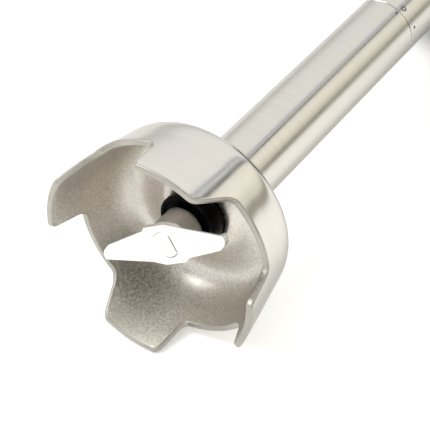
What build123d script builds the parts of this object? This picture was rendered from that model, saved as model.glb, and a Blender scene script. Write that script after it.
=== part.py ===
"""Immersion blender lying on its side: blending foot, drive line, motor and handle.

The long axis runs along +X, from the open rim of the bell to the cord inlet at the end of the
handle, and +Z is up. Stations are distances behind the bell's rim along that axis. Angles round
the axis start at +Y and turn towards +Z, so a positive turn is right-handed about +X.
"""

import os
from math import cos, radians, sin, tan

from build123d import *

# ---------------------------------------------------------------- driving dimensions (mm)
LENGTH = 400.0  # rim to cord inlet
RIM_R = 35.6  # outside of the bell at its rim
AXIS_Z = RIM_R  # the bell lies on its rim
X_RIM = -LENGTH / 2
GAP = 0.05  # assembly gap between fixed pieces
RUN = 0.05  # radial running clearance of a shaft
FREE = 0.4  # gap round a piece that moves in an opening

# Bell
BELL_WALL = 2.1
SKIRT_END = 18.8  # station where the shoulder starts
SKIRT_R = 32.4
SHOULDER_TOP = 32.6  # station of the back of the bell
HUB_HOLE_R = 9.6
HUB_FACE = 26.8  # station of the flat face round the hub hole
HUB_FACE_R = 11.2
BOWL_DEEP = 30.1  # about the deepest station of the inside
TAB_COUNT = 4
NOTCH_MID = -33.0  # angle of the first notch's middle
NOTCH_TOP = 12.9  # station of the notch's flat top
CORNER = 1.8  # rounding of a tab's front corners
# half-angles of the notch's sides, from its middle: at the rim, and where the top corner starts
SLOPE_RIM, SLOPE_TOP, SLOPE_FLAT = -28.4, -20.1, -13.0
STEEP_RIM, STEEP_TOP, STEEP_FLAT = 28.5, 26.4, 22.0
CORNER_STATION = 9.0

# Tube, neck and bayonet
TUBE_R = 11.8
TUBE_BORE = 10.6
TUBE_START = 30.0  # station where the tube meets the bell
SEAM = 145.2  # foot ends here and the motor unit's neck starts
SEAM_GAP = 0.3
NECK_BORE = 11.2
NECK_END = 190.0
NOSE_R = 8.6
LUG_R = 9.8
LUG_COUNT = 3
LUG_ANGLE = 24.0
LUG_START, LUG_END = 156.0, 160.0
TWIST = 38.0  # from locked to free
LUG_AT = 30.0  # angle of the first lug when locked
NOSE_END = 163.0

# Drive line
SHAFT_R = 4.0
SHAFT_TIP_R = 4.3
SHAFT_FLAT = 3.2
BLADE_FACE = 9.9
BLADE_T = 1.8
BLADE_ANGLE = -31.5
BLADE_BENDS = 4.5, 6.5  # degrees that each wing leans to the rim, the one along +Y first
HUB_R = 6.6
HUB_END = 20.2
BOSS_R = 9.5
BOSS_FACE = 21.0
COUPLING_R = 5.4
HEX_SOCKET, HEX_PEG = 3.45, 3.25  # corner radii

# Motor
MOTOR_SHAFT_R = 2.5
CORE_START, CORE_END = 217.0, 249.0
ARMATURE_R = 14.0
STATOR_BORE = 15.0
STATOR_W, STATOR_H = 50.0, 46.0
BRACKET_R = 24.0
FRONT_BRACKET, REAR_BRACKET = 203.0, 276.0
BEARING_R = 8.0
BRACKET_T = 4.0
BRUSH_STATION = 266.0
SCREW_AT = 22.7
EAR_R = 2.5

# Handle: station, half width, underside and top from the axis, corner radius
FORM = (
    (183.0, 13.6, -13.6, 13.6, 13.5),
    (194.0, 25.0, -25.0, 23.0, 18.0),
    (207.0, 30.5, -31.5, 29.0, 22.0),
    (226.0, 31.5, -35.0, 30.5, 24.0),
    (262.0, 31.0, -35.0, 29.5, 23.5),
    (278.0, 30.0, -35.0, 29.4, 23.0),
    (294.0, 27.5, -35.0, 26.6, 22.5),
    (320.0, 26.5, -35.0, 26.0, 22.0),
    (350.0, 26.0, -35.0, 26.0, 22.0),
    (386.0, 26.5, -35.0, 26.0, 22.0),
)
SHELL_WALL = 2.4
TOP_Z = AXIS_Z + 26.0
SHELL_END = 386.0
CAP_END = 396.0
PANEL_T = 1.2
GLAND_Z = 30.0
GLAND_R = 6.2
CORD_R = 3.6
DAMPER_R = 26.8
RIBS = ((208.0, 212.0), (273.0, 277.0))
BOSSES = ((290.0, 12.0), (290.0, 50.0), (379.0, 12.0))  # station and height of the screws

# Buttons: station, half length, half width, spring's lower end
POWER = (308.0, 13.0, 7.5)
TURBO = (338.0, 10.0, 7.5)
BUTTON_RISE = 1.8
BUTTON_TRAVEL = 2.5
FLANGE_T = 1.4
SPRING_R = 3.4
WIRE_R = 0.35
SPRING_TURNS = 4
SWITCH_TOP = 44.0
DIAL_STATION, DIAL_R, DIAL_W = 370.0, 12.0, 7.0
DIAL_Z = TOP_Z - 8.6
BOARD_Z, BOARD_T = 30.0, 1.6
SCREW_HEAD_Y, SCREW_TIP_Y = -20.5, 15.0
VENTS, VENT_MIDDLE, VENT_PITCH, VENT_LENGTH, VENT_WIDTH = 6, 233.0, 5.0, 20.0, 2.2

SIDE = Plane(origin=(X_RIM, 0, AXIS_Z), x_dir=(1, 0, 0), z_dir=(0, -1, 0))
SHAFT = Axis((X_RIM, 0, AXIS_Z), (1, 0, 0))
os.makedirs("parts", exist_ok=True)


# ---------------------------------------------------------------- helpers
def station(at):
    """Plane across the axis at a station: its x is +Y and its y is +Z."""
    return Plane(origin=(X_RIM + at, 0, AXIS_Z), x_dir=(0, 1, 0), z_dir=(1, 0, 0))


def radial(angle, distance, at=0.0):
    """Plane facing out at an angle round the axis: x goes round it, y goes along it."""
    out = Vector(0, cos(radians(angle)), sin(radians(angle)))
    origin = Vector(X_RIM + at, 0, AXIS_Z) + out * distance
    return Plane(origin=origin, x_dir=(0, -sin(radians(angle)), cos(radians(angle))), z_dir=out)


def level(height):
    """Horizontal plane at a height, with its x and y along the row's."""
    return Plane(origin=(X_RIM, 0, height), x_dir=(1, 0, 0), z_dir=(0, 0, 1))


def across(y):
    """Upright plane facing -Y, with its x along the row's and its y up."""
    return Plane(origin=(X_RIM, y, 0), x_dir=(1, 0, 0), z_dir=(0, -1, 0))


def save(piece, label):
    """Label a finished piece and write its file."""
    piece.part.label = label
    export_step(piece.part, f"parts/{label}.step")


def turned(outline):
    """Solid of revolution from a closed outline of (station, radius) points."""
    with BuildPart() as piece:
        with BuildSketch(SIDE):
            with BuildLine():
                Polyline(*outline, close=True)
            make_face()
        revolve(axis=SHAFT)
    return piece


def ring(start, end, outer, inner):
    """Plain sleeve or washer on the axis."""
    return turned([(start, inner), (start, outer), (end, outer), (end, inner)])


def rod(start, end, radius):
    """Plain cylinder on the axis."""
    return turned([(start, 0), (start, radius), (end, radius), (end, 0)])


def sector(inner, outer, first, last):
    """Outline of a ring sector between two angles, drawn in the open line."""
    far = CenterArc((0, 0), outer, first, last - first)
    near = CenterArc((0, 0), inner, first, last - first)
    Line(far @ 0, near @ 0)
    Line(far @ 1, near @ 1)


# ---------------------------------------------------------------- foot: bell and tube
def skirt_edge(inset):
    """Skirt of the bell in the side plane, a distance inside its outside."""
    bow = 0.22
    mid = (SKIRT_END / 2, (RIM_R + SKIRT_R) / 2 + bow - inset)
    Bezier((0, RIM_R - inset), mid, (SKIRT_END, SKIRT_R - inset))


def shoulder_edge():
    """Outside of the shoulder in the side plane, from the skirt to the tube."""
    slope = 0.18  # the curve leaves the skirt along the skirt's own taper
    fall = (SHOULDER_TOP - SKIRT_END) * 0.92
    turn = 0.4
    Bezier(
        (SKIRT_END, SKIRT_R),
        (SKIRT_END + fall, SKIRT_R - slope * fall),
        (SHOULDER_TOP, SKIRT_R - turn),
        (SHOULDER_TOP, TUBE_R + GAP),
    )


def bowl_edge():
    """Inside of the bell in the side plane, from the skirt to the flat face at the hub."""
    skirt = SKIRT_R - BELL_WALL
    leave_run, leave_fall = 7.6, 1.2  # how the curve leaves the skirt
    bulge, bulge_r = 1.6, 26.0  # how far it aims past its deepest station, and where
    floor_short, floor_r = 0.6, 18.5  # where it turns back towards the hub
    cone_short, cone_r = 1.5, 15.4
    face_r = 13.6
    floor = (BOWL_DEEP - floor_short, floor_r)
    Bezier(
        (SKIRT_END, skirt),
        (SKIRT_END + leave_run, skirt - leave_fall),
        (BOWL_DEEP + bulge, bulge_r),
        floor,
    )
    Bezier(floor, (BOWL_DEEP - cone_short, cone_r), (HUB_FACE, face_r), (HUB_FACE, HUB_FACE_R))


def notch_outline(distance):
    """Outline of one notch on a plane facing out, scaled so that its sides are radial."""

    def at(angle, where):
        return (distance * tan(radians(angle)), where)

    corner_angle = 2.2  # degrees of rim that each corner's rounding takes
    slope_lean, steep_lean = 1.9, 0.4  # degrees that a side leans over its corner
    slope_ease, steep_ease = 3.4, 0.7  # degrees from a side to its inner corner's pull
    Bezier(at(SLOPE_RIM - corner_angle, 0), at(SLOPE_RIM, 0), at(SLOPE_RIM + slope_lean, CORNER))
    Line(at(SLOPE_RIM + slope_lean, CORNER), at(SLOPE_TOP, CORNER_STATION))
    Bezier(
        at(SLOPE_TOP, CORNER_STATION),
        at(SLOPE_TOP + slope_ease, NOTCH_TOP - 0.3),
        at(SLOPE_FLAT, NOTCH_TOP),
    )
    Line(at(SLOPE_FLAT, NOTCH_TOP), at(STEEP_FLAT, NOTCH_TOP))
    Bezier(
        at(STEEP_FLAT, NOTCH_TOP),
        at(STEEP_TOP - steep_ease, NOTCH_TOP - 0.1),
        at(STEEP_TOP, CORNER_STATION),
    )
    Line(at(STEEP_TOP, CORNER_STATION), at(STEEP_RIM - steep_lean, CORNER))
    Bezier(at(STEEP_RIM - steep_lean, CORNER), at(STEEP_RIM, 0), at(STEEP_RIM + corner_angle, 0))
    mouth = -2.0
    Polyline(
        at(STEEP_RIM + corner_angle, 0),
        at(STEEP_RIM + corner_angle, mouth),
        at(SLOPE_RIM - corner_angle, mouth),
        at(SLOPE_RIM - corner_angle, 0),
    )


with BuildPart() as bell_guard:
    with BuildSketch(SIDE):
        with BuildLine():
            skirt_edge(0)
            shoulder_edge()
            skirt_edge(BELL_WALL)
            bowl_edge()
            Line((0, RIM_R), (0, RIM_R - BELL_WALL))
            Polyline(
                (HUB_FACE, HUB_FACE_R),
                (HUB_FACE, HUB_HOLE_R),
                (TUBE_START, HUB_HOLE_R),
                (TUBE_START, TUBE_R + GAP),
                (SHOULDER_TOP, TUBE_R + GAP),
            )
        make_face()
    revolve(axis=SHAFT)
    for tab in range(TAB_COUNT):
        angle = NOTCH_MID + 360 / TAB_COUNT * tab
        for distance in (24, 40):
            with BuildSketch(radial(angle, distance)):
                with BuildLine():
                    notch_outline(distance)
                make_face()
        loft(ruled=True, mode=Mode.SUBTRACT)
save(bell_guard, "bell_guard")

shaft_tube = ring(TUBE_START + GAP, SEAM - SEAM_GAP, TUBE_R, TUBE_BORE)
save(shaft_tube, "shaft_tube")

seal_carrier = turned(
    [
        (BOSS_FACE, 8.2),
        (BOSS_FACE, BOSS_R - 0.4),
        (BOSS_FACE + 0.4, BOSS_R),
        (TUBE_START + GAP, BOSS_R),
        (TUBE_START + GAP, TUBE_BORE - GAP),
        (44.0, TUBE_BORE - GAP),
        (44.0, 5.5),
        (24.6, 5.5),
        (24.6, 8.2),
    ]
)
save(seal_carrier, "seal_carrier")

lip_seal = turned(
    [
        (21.6, SHAFT_R + RUN + 0.5),
        (21.6, 8.15),
        (24.5, 8.15),
        (24.5, 6.0),
        (23.4, SHAFT_R + RUN),
        (22.9, SHAFT_R + RUN),
        (22.6, 5.4),
    ]
)
save(lip_seal, "lip_seal")

lower_bush = ring(25.0, 43.0, 5.45, SHAFT_R + RUN)
save(lower_bush, "lower_bush")

mid_carrier = turned(
    [
        (84.0, 6.1),
        (84.0, TUBE_BORE - GAP),
        (87.0, TUBE_BORE - GAP),
        (87.0, 8.0),
        (95.0, 8.0),
        (95.0, TUBE_BORE - GAP),
        (98.0, TUBE_BORE - GAP),
        (98.0, 6.1),
    ]
)
save(mid_carrier, "mid_carrier")

mid_bush = ring(84.0, 98.0, 6.05, SHAFT_R + RUN)
save(mid_bush, "mid_bush")

with BuildPart() as lock_collar:
    with BuildSketch(SIDE):
        with BuildLine():
            Polyline(
                (118.0, 6.6),
                (118.0, TUBE_BORE - GAP),
                (SEAM - SEAM_GAP, TUBE_BORE - GAP),
                (SEAM - SEAM_GAP, NOSE_R),
                (148.0, NOSE_R),
                (148.0, NOSE_R - 1.5),
                (150.0, NOSE_R - 1.5),
                (150.0, NOSE_R),
                (NOSE_END - 0.8, NOSE_R),
                (NOSE_END, NOSE_R - 0.8),
                (NOSE_END, COUPLING_R + FREE),
                (134.0, COUPLING_R + FREE),
                (134.0, 6.6),
                close=True,
            )
        make_face()
    revolve(axis=SHAFT)
    for lug in range(LUG_COUNT):
        middle = LUG_AT + 360 / LUG_COUNT * lug
        with BuildSketch(station(LUG_START)):
            with BuildLine():
                sector(NOSE_R - 0.5, LUG_R, middle - LUG_ANGLE / 2, middle + LUG_ANGLE / 2)
            make_face()
        extrude(amount=LUG_END - LUG_START)
save(lock_collar, "lock_collar")

upper_bush = ring(118.0, 134.0, 6.55, SHAFT_R + RUN)
save(upper_bush, "upper_bush")

with BuildPart() as joint_o_ring:
    with BuildSketch(SIDE):
        with Locations((149.0, NOSE_R - 0.7)):
            Circle(0.78)
    revolve(axis=SHAFT)
save(joint_o_ring, "joint_o_ring")

# ---------------------------------------------------------------- drive line
# Outline of the stepped blade: along the blade from the axis, and across it
WING = (
    (3.5, -6.65),
    (8.6, -5.1),
    (25.9, -1.8),
    (25.6, 0.0),
    (24.6, 1.3),
    (22.0, 2.8),
    (6.4, 5.3),
    (4.9, 6.4),
)
BLADE_PLANE = Plane(
    origin=(X_RIM + BLADE_FACE, 0, AXIS_Z),
    x_dir=(0, cos(radians(BLADE_ANGLE)), sin(radians(BLADE_ANGLE))),
    z_dir=(1, 0, 0),
)
BLADE_SIDE = Plane(
    origin=BLADE_PLANE.origin,
    x_dir=BLADE_PLANE.x_dir,
    z_dir=BLADE_PLANE.x_dir.cross(Vector(1, 0, 0)),
)
BEND_AT, WING_REACH = 7.5, 28.0
LEFT_RISE, RIGHT_RISE = ((WING_REACH - BEND_AT) * tan(radians(bend)) for bend in BLADE_BENDS)

with BuildPart() as blade:
    with BuildSketch(BLADE_PLANE.offset(-4)):
        with BuildLine():
            Polyline(*WING, *((-x, -y) for x, y in WING), close=True)
        make_face()
        with BuildSketch(mode=Mode.SUBTRACT):
            Circle(SHAFT_TIP_R + GAP)
            Rectangle(2 * (SHAFT_FLAT + GAP), 20, mode=Mode.INTERSECT)
    extrude(amount=10)
    with BuildSketch(BLADE_SIDE):
        with BuildLine():
            Polyline(
                (-WING_REACH, -RIGHT_RISE),
                (-BEND_AT, 0),
                (BEND_AT, 0),
                (WING_REACH, -LEFT_RISE),
                (WING_REACH, BLADE_T - LEFT_RISE),
                (BEND_AT, BLADE_T),
                (-BEND_AT, BLADE_T),
                (-WING_REACH, BLADE_T - RIGHT_RISE),
                close=True,
            )
        make_face()
    extrude(amount=12, both=True, mode=Mode.INTERSECT)
save(blade, "blade")

blade_hub = turned(
    [
        (BLADE_FACE + BLADE_T, SHAFT_TIP_R + GAP),
        (BLADE_FACE + BLADE_T, HUB_R - 0.5),
        (BLADE_FACE + BLADE_T + 0.5, HUB_R),
        (HUB_END - 0.5, HUB_R),
        (HUB_END, HUB_R - 0.5),
        (HUB_END, SHAFT_TIP_R + GAP),
    ]
)
save(blade_hub, "blade_hub")

CLIP_AT = 44.6
with BuildPart() as drive_shaft:
    with BuildSketch(SIDE):
        with BuildLine():
            Polyline(
                (BLADE_FACE - 0.2, 0),
                (BLADE_FACE - 0.2, SHAFT_TIP_R - 0.3),
                (BLADE_FACE + 0.1, SHAFT_TIP_R),
                (HUB_END, SHAFT_TIP_R),
                (HUB_END, SHAFT_R),
                (CLIP_AT, SHAFT_R),
                (CLIP_AT, SHAFT_R - 0.8),
                (CLIP_AT + 1, SHAFT_R - 0.8),
                (CLIP_AT + 1, SHAFT_R),
                (150.0, SHAFT_R),
                (150.0, 0),
                close=True,
            )
        make_face()
    revolve(axis=SHAFT)
    # flats through the blade, and flats for the coupling
    flats = ((BLADE_FACE - 0.2, BLADE_T + 0.2, SHAFT_FLAT), (141.0, 9.0, 3.0))
    for start, length, flat in flats:
        with BuildSketch(BLADE_PLANE.offset(start - BLADE_FACE)):
            Rectangle(20, 20)
            Rectangle(2 * flat, 20, mode=Mode.SUBTRACT)
        extrude(amount=length, mode=Mode.SUBTRACT)
save(drive_shaft, "drive_shaft")

thrust_washer = ring(44.05, 44.55, 6.5, SHAFT_R + GAP)
save(thrust_washer, "thrust_washer")

with BuildPart() as shaft_clip:
    with BuildSketch(station(CLIP_AT + 0.05)):
        Circle(6.2)
        Circle(SHAFT_R - 0.75, mode=Mode.SUBTRACT)
        with Locations((0, -5)):
            Rectangle(4.2, 10, mode=Mode.SUBTRACT)
    extrude(amount=0.9)
save(shaft_clip, "shaft_clip")

with BuildPart() as foot_coupling:
    with BuildSketch(BLADE_PLANE.offset(141.0 - BLADE_FACE)):
        Circle(COUPLING_R)
        with BuildSketch(mode=Mode.SUBTRACT):
            Circle(SHAFT_R + GAP)
            Rectangle(2 * (3.0 + GAP), 20, mode=Mode.INTERSECT)
    extrude(amount=10)
    with BuildSketch(station(151.0)):
        Circle(COUPLING_R)
        RegularPolygon(HEX_SOCKET, 6, mode=Mode.SUBTRACT)
    extrude(amount=11)
save(foot_coupling, "foot_coupling")

# ---------------------------------------------------------------- rotor
motor_shaft = rod(168.0, 284.0, MOTOR_SHAFT_R)
save(motor_shaft, "motor_shaft")

with BuildPart() as motor_coupling:
    with BuildSketch(station(152.5)):
        RegularPolygon(HEX_PEG, 6)
    extrude(amount=11)
    with BuildSketch(station(163.3)):
        Circle(COUPLING_R)
    extrude(amount=14)
    with BuildSketch(station(168.0)):
        Circle(MOTOR_SHAFT_R + GAP)
    extrude(amount=10, mode=Mode.SUBTRACT)
save(motor_coupling, "motor_coupling")

SLOTS = 12
with BuildPart() as armature_core:
    with BuildSketch(station(CORE_START)):
        Circle(ARMATURE_R)
        Circle(MOTOR_SHAFT_R + GAP, mode=Mode.SUBTRACT)
        with PolarLocations(ARMATURE_R - 3.2, SLOTS):
            Rectangle(7.0, 1.9, mode=Mode.SUBTRACT)
    extrude(amount=CORE_END - CORE_START)
save(armature_core, "armature_core")

with BuildPart() as armature_windings:
    for start in (CORE_START - 7.2, CORE_END + 0.2):
        with BuildSketch(station(start)):
            Circle(12.6)
            Circle(5.0, mode=Mode.SUBTRACT)
        extrude(amount=7.0)
    with BuildSketch(station(CORE_START - 0.3)):
        with PolarLocations(ARMATURE_R - 4.0, SLOTS):
            Rectangle(4.6, 1.6)
    extrude(amount=CORE_END - CORE_START + 0.6)
save(armature_windings, "armature_windings")

with BuildPart() as commutator:
    with BuildSketch(station(259.5)):
        Circle(8.0)
        Circle(MOTOR_SHAFT_R + GAP, mode=Mode.SUBTRACT)
        with PolarLocations(7.8, 2 * SLOTS):
            Rectangle(1.4, 0.4, mode=Mode.SUBTRACT)
    extrude(amount=13.0)
save(commutator, "commutator")

FAN_START, FAN_R, FAN_VANES = 193.5, 15.5, 11
with BuildPart() as cooling_fan:
    with BuildSketch(station(FAN_START)):
        Circle(5.0)
    extrude(amount=7.5)
    with BuildSketch(station(FAN_START)):
        Circle(FAN_R)
    extrude(amount=1.2)
    with BuildSketch(station(FAN_START + 1.2)):
        with PolarLocations(FAN_R - 5.2, FAN_VANES):
            with Locations(Rotation(0, 0, 24)):
                Rectangle(9.6, 1.1)
    extrude(amount=6.3)
    with BuildSketch(station(FAN_START)):
        Circle(MOTOR_SHAFT_R + GAP)
    extrude(amount=7.5, mode=Mode.SUBTRACT)
save(cooling_fan, "cooling_fan")

# ---------------------------------------------------------------- motor unit: neck and motor
neck_sleeve = ring(SEAM, NECK_END, TUBE_R, NECK_BORE)
save(neck_sleeve, "neck_sleeve")

with BuildPart() as bayonet_socket:
    with BuildSketch(SIDE):
        with BuildLine():
            Polyline(
                (SEAM + 0.4, NOSE_R + 0.15),
                (SEAM + 0.4, NECK_BORE - GAP),
                (NECK_END, NECK_BORE - GAP),
                (NECK_END, 9.0),
                (166.0, 9.0),
                (166.0, NOSE_R + 0.15),
                close=True,
            )
        make_face()
    revolve(axis=SHAFT)
    slot_r = LUG_R + 0.15
    play = 1.0  # degrees each side of a lug
    for lug in range(LUG_COUNT):
        locked = LUG_AT + 360 / LUG_COUNT * lug
        first = locked - LUG_ANGLE / 2 - play
        last = locked + TWIST + LUG_ANGLE / 2 + play
        with BuildSketch(station(LUG_START - 0.2)):
            with BuildLine():
                sector(NOSE_R - 0.5, slot_r, first, last)
            make_face()
        extrude(amount=LUG_END - LUG_START + 0.4, mode=Mode.SUBTRACT)
        with BuildSketch(station(SEAM)):
            with BuildLine():
                sector(NOSE_R - 0.5, slot_r, last - LUG_ANGLE - 2 * play, last)
            make_face()
        extrude(amount=LUG_END - SEAM, mode=Mode.SUBTRACT)
save(bayonet_socket, "bayonet_socket")

neck_ring = turned(
    [
        (179.4, TUBE_R + GAP),
        (179.4, 12.9),
        (180.2, 13.6),
        (FORM[0][0] - GAP, 13.6),
        (FORM[0][0] - GAP, TUBE_R + GAP),
    ]
)
save(neck_ring, "neck_ring")


def bracket(seat, open_end, window_at):
    """Cup-shaped motor bracket: bearing seat, wall, screw ears and two wall windows."""
    disc_end = seat + BRACKET_T
    low, high = min(seat, open_end), max(disc_end, open_end)
    hollow = (disc_end, open_end) if open_end > seat else (open_end, seat)
    with BuildPart() as piece:
        with BuildSketch(station(low)):
            Circle(BRACKET_R)
            with PolarLocations(SCREW_AT, 2):
                Circle(EAR_R)
        extrude(amount=high - low)
        with BuildSketch(station(hollow[0])):
            Circle(BRACKET_R - 1.8)
            with PolarLocations(SCREW_AT, 2):
                Circle(EAR_R, mode=Mode.SUBTRACT)
        extrude(amount=hollow[1] - hollow[0], mode=Mode.SUBTRACT)
        with BuildSketch(station(low)):
            Circle(BEARING_R + GAP)
            with PolarLocations(SCREW_AT, 2):
                Circle(1.6)
            with PolarLocations(14.5, 4, start_angle=45):
                Circle(3.6)
        extrude(amount=high - low, mode=Mode.SUBTRACT)
        for angle in (90, 270):
            with BuildSketch(radial(angle, BRACKET_R - 6, window_at)):
                Rectangle(8.6, 8.6)
            extrude(amount=12, mode=Mode.SUBTRACT)
    return piece


front_bracket = bracket(FRONT_BRACKET, CORE_START - 0.5, 212.0)
save(front_bracket, "front_bracket")
rear_bracket = bracket(REAR_BRACKET, CORE_END + 8.5, BRUSH_STATION)
save(rear_bracket, "rear_bracket")

front_bearing = ring(FRONT_BRACKET, FRONT_BRACKET + BRACKET_T, BEARING_R, MOTOR_SHAFT_R + RUN)
save(front_bearing, "front_bearing")
rear_bearing = ring(REAR_BRACKET, REAR_BRACKET + BRACKET_T, BEARING_R, MOTOR_SHAFT_R + RUN)
save(rear_bearing, "rear_bearing")

WINDOW = 28.5  # half-angle of a coil window
with BuildPart() as stator_core:
    with BuildSketch(station(CORE_START)):
        RectangleRounded(STATOR_W, STATOR_H, 9)
        Circle(STATOR_BORE, mode=Mode.SUBTRACT)
        with PolarLocations(SCREW_AT, 2):
            Circle(1.6, mode=Mode.SUBTRACT)
    extrude(amount=CORE_END - CORE_START)
    for side in (0, 180):
        with BuildSketch(station(CORE_START)):
            with BuildLine():
                sector(STATOR_BORE - 1, 20.6, side - WINDOW, side + WINDOW)
            make_face()
        extrude(amount=CORE_END - CORE_START, mode=Mode.SUBTRACT)
save(stator_core, "stator_core")

with BuildPart() as field_coils:
    for side in (0, 180):
        with BuildSketch(station(CORE_START - 8)):
            with BuildLine():
                sector(15.6, 20.1, side + 3, side + 177)
            make_face()
        extrude(amount=CORE_END - CORE_START + 16)
        with BuildSketch(station(CORE_START - 0.3)):
            with BuildLine():
                sector(15.0, 21.0, side + 27.5, side + 152.5)
            make_face()
        extrude(amount=CORE_END - CORE_START + 0.6, mode=Mode.SUBTRACT)
save(field_coils, "field_coils")

with BuildPart() as motor_screws:
    for start, length, radius in ((FRONT_BRACKET - 2.0, 2.0, 2.6), (FRONT_BRACKET, 77.0, 1.5)):
        with BuildSketch(station(start)):
            with PolarLocations(SCREW_AT, 2):
                Circle(radius)
        extrude(amount=length)
save(motor_screws, "motor_screws")

with BuildPart() as brush_holders:
    for angle in (90, 270):
        with BuildSketch(radial(angle, 10.0, BRUSH_STATION)):
            Rectangle(8.0, 8.0)
            Rectangle(6.2, 5.2, mode=Mode.SUBTRACT)
        extrude(amount=14.0)
        with BuildSketch(radial(angle, 24.0, BRUSH_STATION)):
            Rectangle(8.0, 8.0)
        extrude(amount=1.2)
save(brush_holders, "brush_holders")

with BuildPart() as carbon_brushes:
    for angle in (90, 270):
        with BuildSketch(radial(angle, 8.15, BRUSH_STATION)):
            Rectangle(6.0, 5.0)
        extrude(amount=9.0)
save(carbon_brushes, "carbon_brushes")


def coil_spring(base, height, radius, wire, turns):
    """Round-wire coil spring standing on a plane."""
    with BuildPart() as piece:
        with BuildLine(base.offset(wire)) as path:
            rise = height - 2 * wire
            Helix(rise / turns, rise, radius, direction=base.z_dir)
        with BuildSketch(Plane(origin=path.line @ 0, z_dir=path.line % 0)):
            Circle(wire)
        sweep(path=path.line)
    return piece


with BuildPart() as brush_springs:
    for angle in (90, 270):
        add(coil_spring(radial(angle, 17.4, BRUSH_STATION), 6.3, 1.9, 0.25, 4).part)
save(brush_springs, "brush_springs")

for label, (start, end) in zip(("front_damper", "rear_damper"), RIBS):
    damper = ring(start - 0.5, end + 0.5, DAMPER_R, SCREW_AT + EAR_R + GAP)
    save(damper, label)

# ---------------------------------------------------------------- handle
def handle_form(inset):
    """Outside of the handle, or its cavity when inset, through the sections of FORM."""
    with BuildPart() as form:
        for at, half_width, low, high, corner in FORM:
            with BuildSketch(station(at)):
                with Locations((0, (low + high) / 2)):
                    RectangleRounded(
                        2 * (half_width - inset), high - low - 2 * inset, corner - inset
                    )
        loft(ruled=True)
    return form.part


OUTSIDE = handle_form(0)
CAVITY = handle_form(SHELL_WALL)
LOWERED = handle_form(PANEL_T)
PANEL_START, PANEL_END, PANEL_HALF = 286.0, 383.5, 16.0
PAD_START, PAD_END, PAD_HALF = 240.0, 380.0, 13.0
PAD_TOP = 1.8
DIAL_SLOT = 22.0
BUTTONS = (POWER, TURBO)


def top_openings():
    """Outlines of the button and dial openings, drawn in the open sketch."""
    for at, half_length, half_width in BUTTONS:
        with Locations((at, 0)):
            Ellipse(half_length + FREE, half_width + FREE)
    with Locations((DIAL_STATION, 0)):
        Rectangle(DIAL_SLOT, DIAL_W + 1.2)


with BuildPart() as panel_blank:
    add(OUTSIDE)
    add(LOWERED, mode=Mode.SUBTRACT)
    with BuildSketch(level(AXIS_Z)):
        with Locations(((PANEL_START + PANEL_END) / 2, 0)):
            SlotOverall(PANEL_END - PANEL_START, 2 * PANEL_HALF)
    extrude(amount=60, mode=Mode.INTERSECT)

with BuildPart() as grip_panel:
    add(panel_blank.part)
    with BuildSketch(level(AXIS_Z)):
        top_openings()
    extrude(amount=60, mode=Mode.SUBTRACT)
save(grip_panel, "grip_panel")

with BuildPart() as rest_pad:
    with BuildSketch(level(0)):
        with Locations(((PAD_START + PAD_END) / 2, 0)):
            SlotOverall(PAD_END - PAD_START, 2 * PAD_HALF)
    extrude(amount=PAD_TOP)
save(rest_pad, "rest_pad")

# Casing: one form, cut into a left and a right shell
with BuildPart() as motor_ribs:
    for start, end in RIBS:
        with BuildSketch(station(start)):
            Rectangle(90, 90)
            Circle(DAMPER_R + GAP, mode=Mode.SUBTRACT)
        extrude(amount=end - start)
    add(CAVITY, mode=Mode.INTERSECT)

with BuildPart() as screw_posts:
    with BuildSketch(across(0)):
        with Locations(*BOSSES):
            Circle(3.8)
    extrude(amount=40, both=True)
    add(OUTSIDE, mode=Mode.INTERSECT)

with BuildPart() as casing:
    add(OUTSIDE)
    add(CAVITY, mode=Mode.SUBTRACT)
    add(motor_ribs.part)
    add(screw_posts.part)
    with BuildSketch(across(SCREW_TIP_Y)):
        with Locations(*BOSSES):
            Circle(1.5)
    extrude(amount=60, mode=Mode.SUBTRACT)
    with BuildSketch(across(SCREW_HEAD_Y)):
        with Locations(*BOSSES):
            Circle(2.9)
    extrude(amount=20, mode=Mode.SUBTRACT)
    with BuildSketch(station(FORM[0][0])):
        Circle(TUBE_R + GAP)
    extrude(amount=9, mode=Mode.SUBTRACT)
    add(panel_blank.part, mode=Mode.SUBTRACT)
    add(rest_pad.part, mode=Mode.SUBTRACT)
    with BuildSketch(level(AXIS_Z)):
        top_openings()
    extrude(amount=60, mode=Mode.SUBTRACT)
    with BuildSketch(across(0)):
        with Locations((VENT_MIDDLE, AXIS_Z)):
            with GridLocations(VENT_PITCH, 0, VENTS, 1):
                SlotOverall(VENT_LENGTH, VENT_WIDTH, rotation=90)
    extrude(amount=60, both=True, mode=Mode.SUBTRACT)

with BuildPart() as left_shell:
    add(casing.part)
    split(bisect_by=Plane.ZX)
save(left_shell, "left_shell")

with BuildPart() as right_shell:
    add(casing.part)
    split(bisect_by=Plane.XZ)
save(right_shell, "right_shell")

with BuildPart() as housing_screws:
    for depth, amount, radius in ((SCREW_HEAD_Y, 2.0, 2.7), (SCREW_TIP_Y - 1.5, 34.0, 1.4)):
        with BuildSketch(across(depth)):
            with Locations(*BOSSES):
                Circle(radius)
        extrude(amount=amount)
save(housing_screws, "housing_screws")

with BuildPart() as end_cap:
    at, half_width, low, high, corner = FORM[-1]
    with BuildSketch(station(SHELL_END + 0.1)):
        with Locations((0, (low + high) / 2)):
            RectangleRounded(2 * half_width, high - low, corner)
    extrude(amount=CAP_END - SHELL_END)
    fillet(end_cap.faces().sort_by(Axis.X)[-1].edges(), 5.0)
    with BuildSketch(station(SHELL_END + 0.1)):
        with Locations((0, (low + high) / 2)):
            RectangleRounded(2 * (half_width - 3), high - low - 6, corner - 3)
    extrude(amount=5.0, mode=Mode.SUBTRACT)
    with BuildSketch(station(SHELL_END)):
        with Locations((0, GLAND_Z - AXIS_Z)):
            Circle(GLAND_R + GAP)
    extrude(amount=20, mode=Mode.SUBTRACT)
save(end_cap, "end_cap")

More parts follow.
